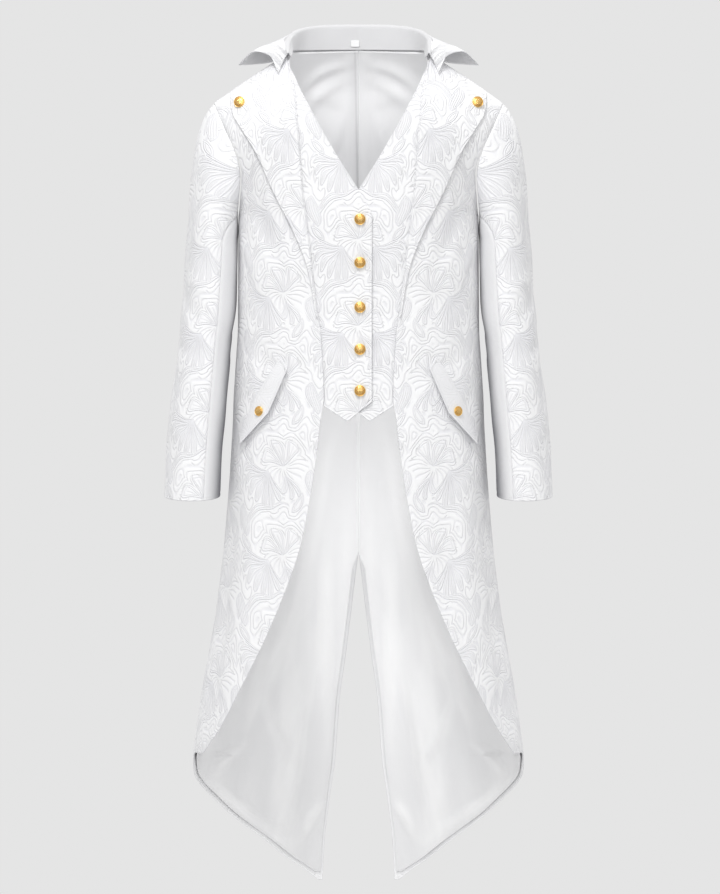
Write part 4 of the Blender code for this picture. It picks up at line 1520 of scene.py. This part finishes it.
        x, y = graph.split(cut)
        weave = graph.wave(x + y, 0.0016) * outside + graph.wave(y, 0.0011) * inside
        grain = graph.noise(cut, 900.0, 1.0)
        cloud = graph.noise(cut, 9.0, 2.0)
        edge, run = graph.split(graph.uv("Edge"))
        sewn = graph.ridge(edge - 0.0045, 0.0006) * graph.lines(run, STITCH, STITCH * 0.4)
        reverse = graph.ramp(run, 0.4 * REVERSE, 0.6 * REVERSE)
        show = (1.0 - reverse * self.reverse_loss) * self.show
        if self.plain_below is not None:
            show = graph.ramp(y, self.plain_below, self.plain_below + 0.003) * show
        # Painted shade: a thin dark line along the turned edges.
        rim = graph.ridge(graph.split(graph.uv("Fold"))[0], self.edge_shade_half) * self.edge_shade_share
        height = (inside * self.raised - lines * self.sunk) * show + weave * 0.015 \
            + grain * 0.03 + sewn * 0.3
        # Plain below the collar's crest, in a colour darkened as painted shade inside the
        # stand.
        cloth = self.ground if self.plain_below is None else \
            graph.mixed(graph.ramp(y, self.plain_below, self.plain_below + 0.002),
                        self.shaded_plain, self.ground)
        # Painted shade across the middle of the under sleeve.
        if self.painted_shade is not None:
            painted_shade = graph.ramp(x, *self.painted_shade_front) * graph.ramp(x, *self.painted_shade_back)
            cloth = graph.mixed(painted_shade, cloth, self.painted_shade)
        cloth = graph.mixed(inside * show * self.figure_share, cloth, self.figure)
        cloth = graph.mixed(lines * (cloud * self.line_cloud + self.line_share) * show, cloth,
                            self.line)
        # The thin dark line along the turned edges goes on last, as painted shade.
        graph.feed("Base Color", graph.mixed(rim, cloth, self.rim))
        graph.feed("Roughness", 0.62 - inside * 0.14 + grain * 0.08)
        graph.feed("Sheen Weight", 0.12)
        graph.feed("Sheen Roughness", 0.45)
        graph.feed("Specular IOR Level", 0.30)
        graph.bump(height, self.relief)
        return graph.material


@dataclass(frozen=True)
class Satin:
    """Pale lining satin: fine threads, a soft lustre, faint creases, a painted glow and
    painted shade.
    """

    name: str = "lining satin"
    light: Colour = (.880, .880, .882, 1)
    shade: Colour = (.830, .830, .835, 1)
    # Painted shade: a darker colour for the troughs of the folds and for the lining's upper
    # part.
    hollow: Colour = (.730, .730, .740, 1)
    # Painted shadow: a dark colour down the centre pleat, with softer painted shade on its
    # left; it also draws the double seam lines below the waist.
    seam: Colour = (.520, .520, .530, 1)
    # Painted light: strength of a glow, blended between the next two colours, that stands in
    # for light the lining does not get.
    painted_glow: float = 0.38
    glow: Colour = (1.0, 1.0, 1.0, 1)
    dark: Colour = (0.0, 0.0, 0.0, 1)
    # Heights and places on the cut where the painted shade of the upper part sets in, and
    # where the painted glow rises and fades.
    chest: Pair = (-0.36, -0.28)
    neck: Pair = (-0.16, -0.04)
    waist: Pair = (-0.36, -0.46)
    tails: Pair = (-1.25, -0.55)
    sides: Pair = (0.045, 0.120)
    pleat_slope: float = -0.0183
    pleat_foot: float = -0.0050
    roughness: float = 0.42
    relief: float = 0.0012

    def material(self) -> Material:
        """Build the finish: long soft creases by stretched noise, and threads by waves.

        Painted light: it glows at the neck and below the waist, less at the sides and
        downwards. Painted shade darkens the centre pleat, the troughs of the folds and the
        upper part.
        """
        graph = Graph(self.name)
        cut = graph.uv("Cut")
        x, y = graph.split(cut)
        drape = graph.noise(graph.join(x * 1.0 + y * 0.22, y * 0.28), 26.0, 3.0)
        crumple = graph.noise(graph.join(x * 0.8 - y * 0.5, y * 0.5 + x * 0.3), 34.0, 2.0)
        threads = graph.wave(y, 0.0010) * 0.5 + graph.wave(x, 0.0014) * 0.5
        edge, run = graph.split(graph.uv("Edge"))
        sewn = graph.ridge(edge - 0.0035, 0.0005) * graph.lines(run, STITCH, STITCH * 0.4)
        # Painted shadow down the centre pleat, with softer painted shade on its left.
        aside = graph.split(graph.place())[0] - y * self.pleat_slope - self.pleat_foot
        pleat = graph.most(graph.ridge(aside, 0.0034) * 0.75,
                           graph.ramp(aside, -0.0160, 0.0) * graph.ramp(aside, 0.0010, 0.0)
                           * 0.28) * graph.ramp(y, -0.260, -0.210)
        double = graph.ridge(x - 0.0040, 0.0007) * graph.ramp(y, -0.735, -0.715) \
            * graph.ramp(y, -0.380, -0.420) * 0.30
        cloth = graph.mixed(graph.ramp(drape, 0.35, 0.68), self.shade, self.light)
        fold = graph.split(graph.uv("Fold"))[1]
        # Painted shade in the troughs of the folds, by their height.
        cloth = graph.mixed(graph.ramp(fold, -0.0045, -0.0004) * 0.55, cloth, self.hollow)
        graph.feed("Roughness", self.roughness + graph.noise(cut, 700.0, 1.0) * 0.12)
        graph.feed("Specular IOR Level", 0.45)
        graph.feed("Sheen Weight", 0.10)
        # Painted shade over the lining's upper part.
        cloth = graph.mixed(graph.ramp(y, *self.chest), cloth, self.hollow)
        # Painted light: the lining glows most at the neck and below the waist, and less
        # towards the sides, which stands for the shade there.
        lit = graph.ramp(y, *self.neck) * 0.50 + graph.ramp(y, *self.tails) \
            * graph.ramp(y, *self.waist) * (0.92 - graph.ramp(x, *self.sides) * 0.62)
        # The pleat's painted shadow and the double seam lines go into the base colour.
        graph.feed("Base Color", graph.mixed(graph.most(pleat, double), cloth, self.seam))
        graph.feed("Emission Color", graph.mixed(lit, self.dark, self.glow))
        graph.feed("Emission Strength", self.painted_glow)
        graph.bump(drape * 0.9 + crumple * 0.5 + threads * 0.015 + sewn * 0.15, self.relief)
        return graph.material


@dataclass(frozen=True)
class Gold:
    """Gilt button metal, browner in its hollows, with fine wear."""

    name: str = "gilt metal"
    bright: Colour = (1.00, .760, .320, 1)
    hollow: Colour = (.760, .400, .110, 1)

    def material(self) -> Material:
        """Build the finish: the hollow colour follows the button's own relief map."""
        graph = Graph(self.name)
        relief, _ = graph.split(graph.uv("Relief"))
        cloud = graph.noise(graph.place(), 420.0, 3.0)
        graph.feed("Metallic", 1.0)
        graph.feed("Base Color", graph.mixed(graph.ramp(relief + cloud * 0.25, 0.85, 0.30),
                                             self.bright, self.hollow))
        graph.feed("Roughness", 0.22 + cloud * 0.16)
        graph.bump(cloud + relief * 0.5, 0.00012)
        return graph.material


@dataclass(frozen=True)
class Tape:
    """Woven white label tape with a finer border."""

    name: str = "label tape"
    colour: Colour = (.93, .93, .935, 1)
    border: Colour = (.60, .60, .62, 1)

    def material(self) -> Material:
        """Build the finish: cross threads and a stitched line inside the edge."""
        graph = Graph(self.name)
        x, y = graph.split(graph.uv("Cut"))
        edge, run = graph.split(graph.uv("Edge"))
        weave = graph.wave(x, 0.0007) * graph.wave(y, 0.0007)
        sewn = graph.ridge(edge - 0.0011, 0.0003) * graph.lines(run, 0.0016, 0.0006)
        shade = graph.most(sewn * 0.6, graph.ridge(edge, 0.0007))
        graph.feed("Base Color", graph.mixed(shade, self.colour, self.border))
        graph.feed("Roughness", 0.7 + weave * 0.05)
        graph.bump(weave * 0.5 + sewn, 0.0001)
        return graph.material


@dataclass
class Studio:
    """Pale floor, soft light and the camera at the photograph's angle."""

    scale: float = 0.00155
    photo_size: tuple[int, int] = (720, 894)
    axis: float = 358.5
    top_row: float = 65.0
    distance: float = 40.0
    sensor: float = 36.0
    floor: float = -1.42
    floor_size: float = 2.8
    ground: float = 0.783
    above: float = 1.22
    below: float = 0.24

    def camera(self) -> None:
        """Place the camera straight in front, so that the photograph's scale holds."""
        width, height = self.photo_size
        across = (width / 2 - self.axis) * self.scale
        level = (self.top_row - height / 2) * self.scale
        lens = self.sensor * self.distance / (height * self.scale)
        data = bpy.data.cameras.new("camera")
        data.sensor_width = self.sensor
        data.lens = lens
        eye = bpy.data.objects.new("camera", data)
        eye.location = (across, -self.distance, level)
        eye.rotation_euler = (math.pi / 2, 0, 0)
        data.clip_start, data.clip_end = 0.05, 60
        bpy.context.scene.collection.objects.link(eye)
        bpy.context.scene.camera = eye

    def light(self, name: str, place: Triple, size: float, power: float
              ) -> None:
        """Add a large soft lamp that faces the coat's middle."""
        data = bpy.data.lights.new(name, "AREA")
        data.shape = "DISK"
        data.size, data.energy = size, power
        lamp = bpy.data.objects.new(name, data)
        lamp.location = place
        aim = Vector((0, 0, -0.55)) - Vector(place)
        lamp.rotation_euler = aim.to_track_quat("-Z", "Y").to_euler()
        bpy.context.scene.collection.objects.link(lamp)

    def build(self) -> None:
        """Make the floor, the lights and the world."""
        self.camera()
        self.make_floor()
        self.make_world()
        self.light("key", (-0.4, -1.6, 1.6), 0.6, 24)
        self.light("front", (0.0, -3.4, 0.60), 1.8, 22)
        self.light("rear key", (1.9, 2.6, 1.4), 0.9, 24)
        self.light("rear fill", (-1.8, 2.8, 0.2), 1.6, 8)
        bpy.context.scene.view_settings.view_transform = "Standard"

    def make_floor(self) -> None:
        """Round pale floor below the coat, which fades into the background at its edge."""
        turn = np.linspace(0, 2 * math.pi, 97)[:-1]
        ring = np.stack((np.cos(turn), np.sin(turn), 0 * turn), -1) * self.floor_size
        mesh = bpy.data.meshes.new("floor")
        mesh.from_pydata((ring + np.array((0, 0, self.floor))).tolist(), [],
                         [tuple(range(len(turn)))])
        graph = Graph("pale floor")
        radius = graph.vector("LENGTH", graph.vector(
            "MULTIPLY", graph.place(), (1.0, 1.0, 0.0)))
        graph.feed("Base Color", (.80, .80, .80, 1))
        graph.feed("Roughness", 0.9)
        graph.feed("Specular IOR Level", 0.0)
        graph.feed("Alpha", graph.ramp(radius, self.floor_size * 0.95, 0.35))
        mesh.materials.append(graph.material)
        floor = bpy.data.objects.new("floor", mesh)
        bpy.context.scene.collection.objects.link(floor)

    def make_world(self) -> None:
        """Even background for the eye; the light it gives is stronger from above."""
        world = bpy.data.worlds.new("studio")
        world.use_nodes = True
        tree = world.node_tree
        output = tree.nodes["World Output"]
        seen, lit = tree.nodes["Background"], tree.nodes.new("ShaderNodeBackground")
        seen.inputs[0].default_value = (self.ground, self.ground, self.ground, 1)
        place = tree.nodes.new("ShaderNodeTexCoord")
        split = tree.nodes.new("ShaderNodeSeparateXYZ")
        level = tree.nodes.new("ShaderNodeMapRange")
        level.inputs[1].default_value = -1.0
        level.inputs[3].default_value = self.below
        level.inputs[4].default_value = self.above
        path = tree.nodes.new("ShaderNodeLightPath")
        blend = tree.nodes.new("ShaderNodeMixShader")
        link = tree.links.new
        link(place.outputs["Generated"], split.inputs[0])
        link(split.outputs[2], level.inputs[0])
        link(level.outputs[0], lit.inputs[1])
        link(path.outputs["Is Camera Ray"], blend.inputs[0])
        link(lit.outputs[0], blend.inputs[1])
        link(seen.outputs[0], blend.inputs[2])
        link(blend.outputs[0], output.inputs[0])
        bpy.context.scene.world = world


def main() -> None:
    """Build the coat's pieces in order."""
    logging.basicConfig(level=logging.INFO, format="%(message)s")
    brocade, satin = Brocade().material(), Satin().material()
    Fronts().build(brocade)
    Backs().build(brocade, satin)
    Lapels().build(brocade)
    WaistcoatFronts().build(brocade)
    # The under sleeves: fewer figures, and a darker ground and a darker middle that are
    # painted shade where they hang close to the body.
    shaded_plain = Brocade("under sleeve cloth", ground=(.80, .80, .81, 1), show=0.15,
                    painted_shade=(.130, .130, .150, 1))
    Sleeves().build(brocade, shaded_plain.material())
    # The collar is plain and darker below its crest: painted shade inside the stand.
    Collar().build(Brocade("collar brocade", plain_below=0.001).material())
    # The flaps: fewer figures, and a ground a little darker than the coat's, as painted shade.
    PocketFlaps().build(Brocade("flap brocade", ground=(.885, .885, .898, 1),
                                show=0.30).material())
    Buttons().build(Gold().material())
    NeckLabel().build(Tape().material())
    Studio().build()


if __name__ == "__main__":
    main()
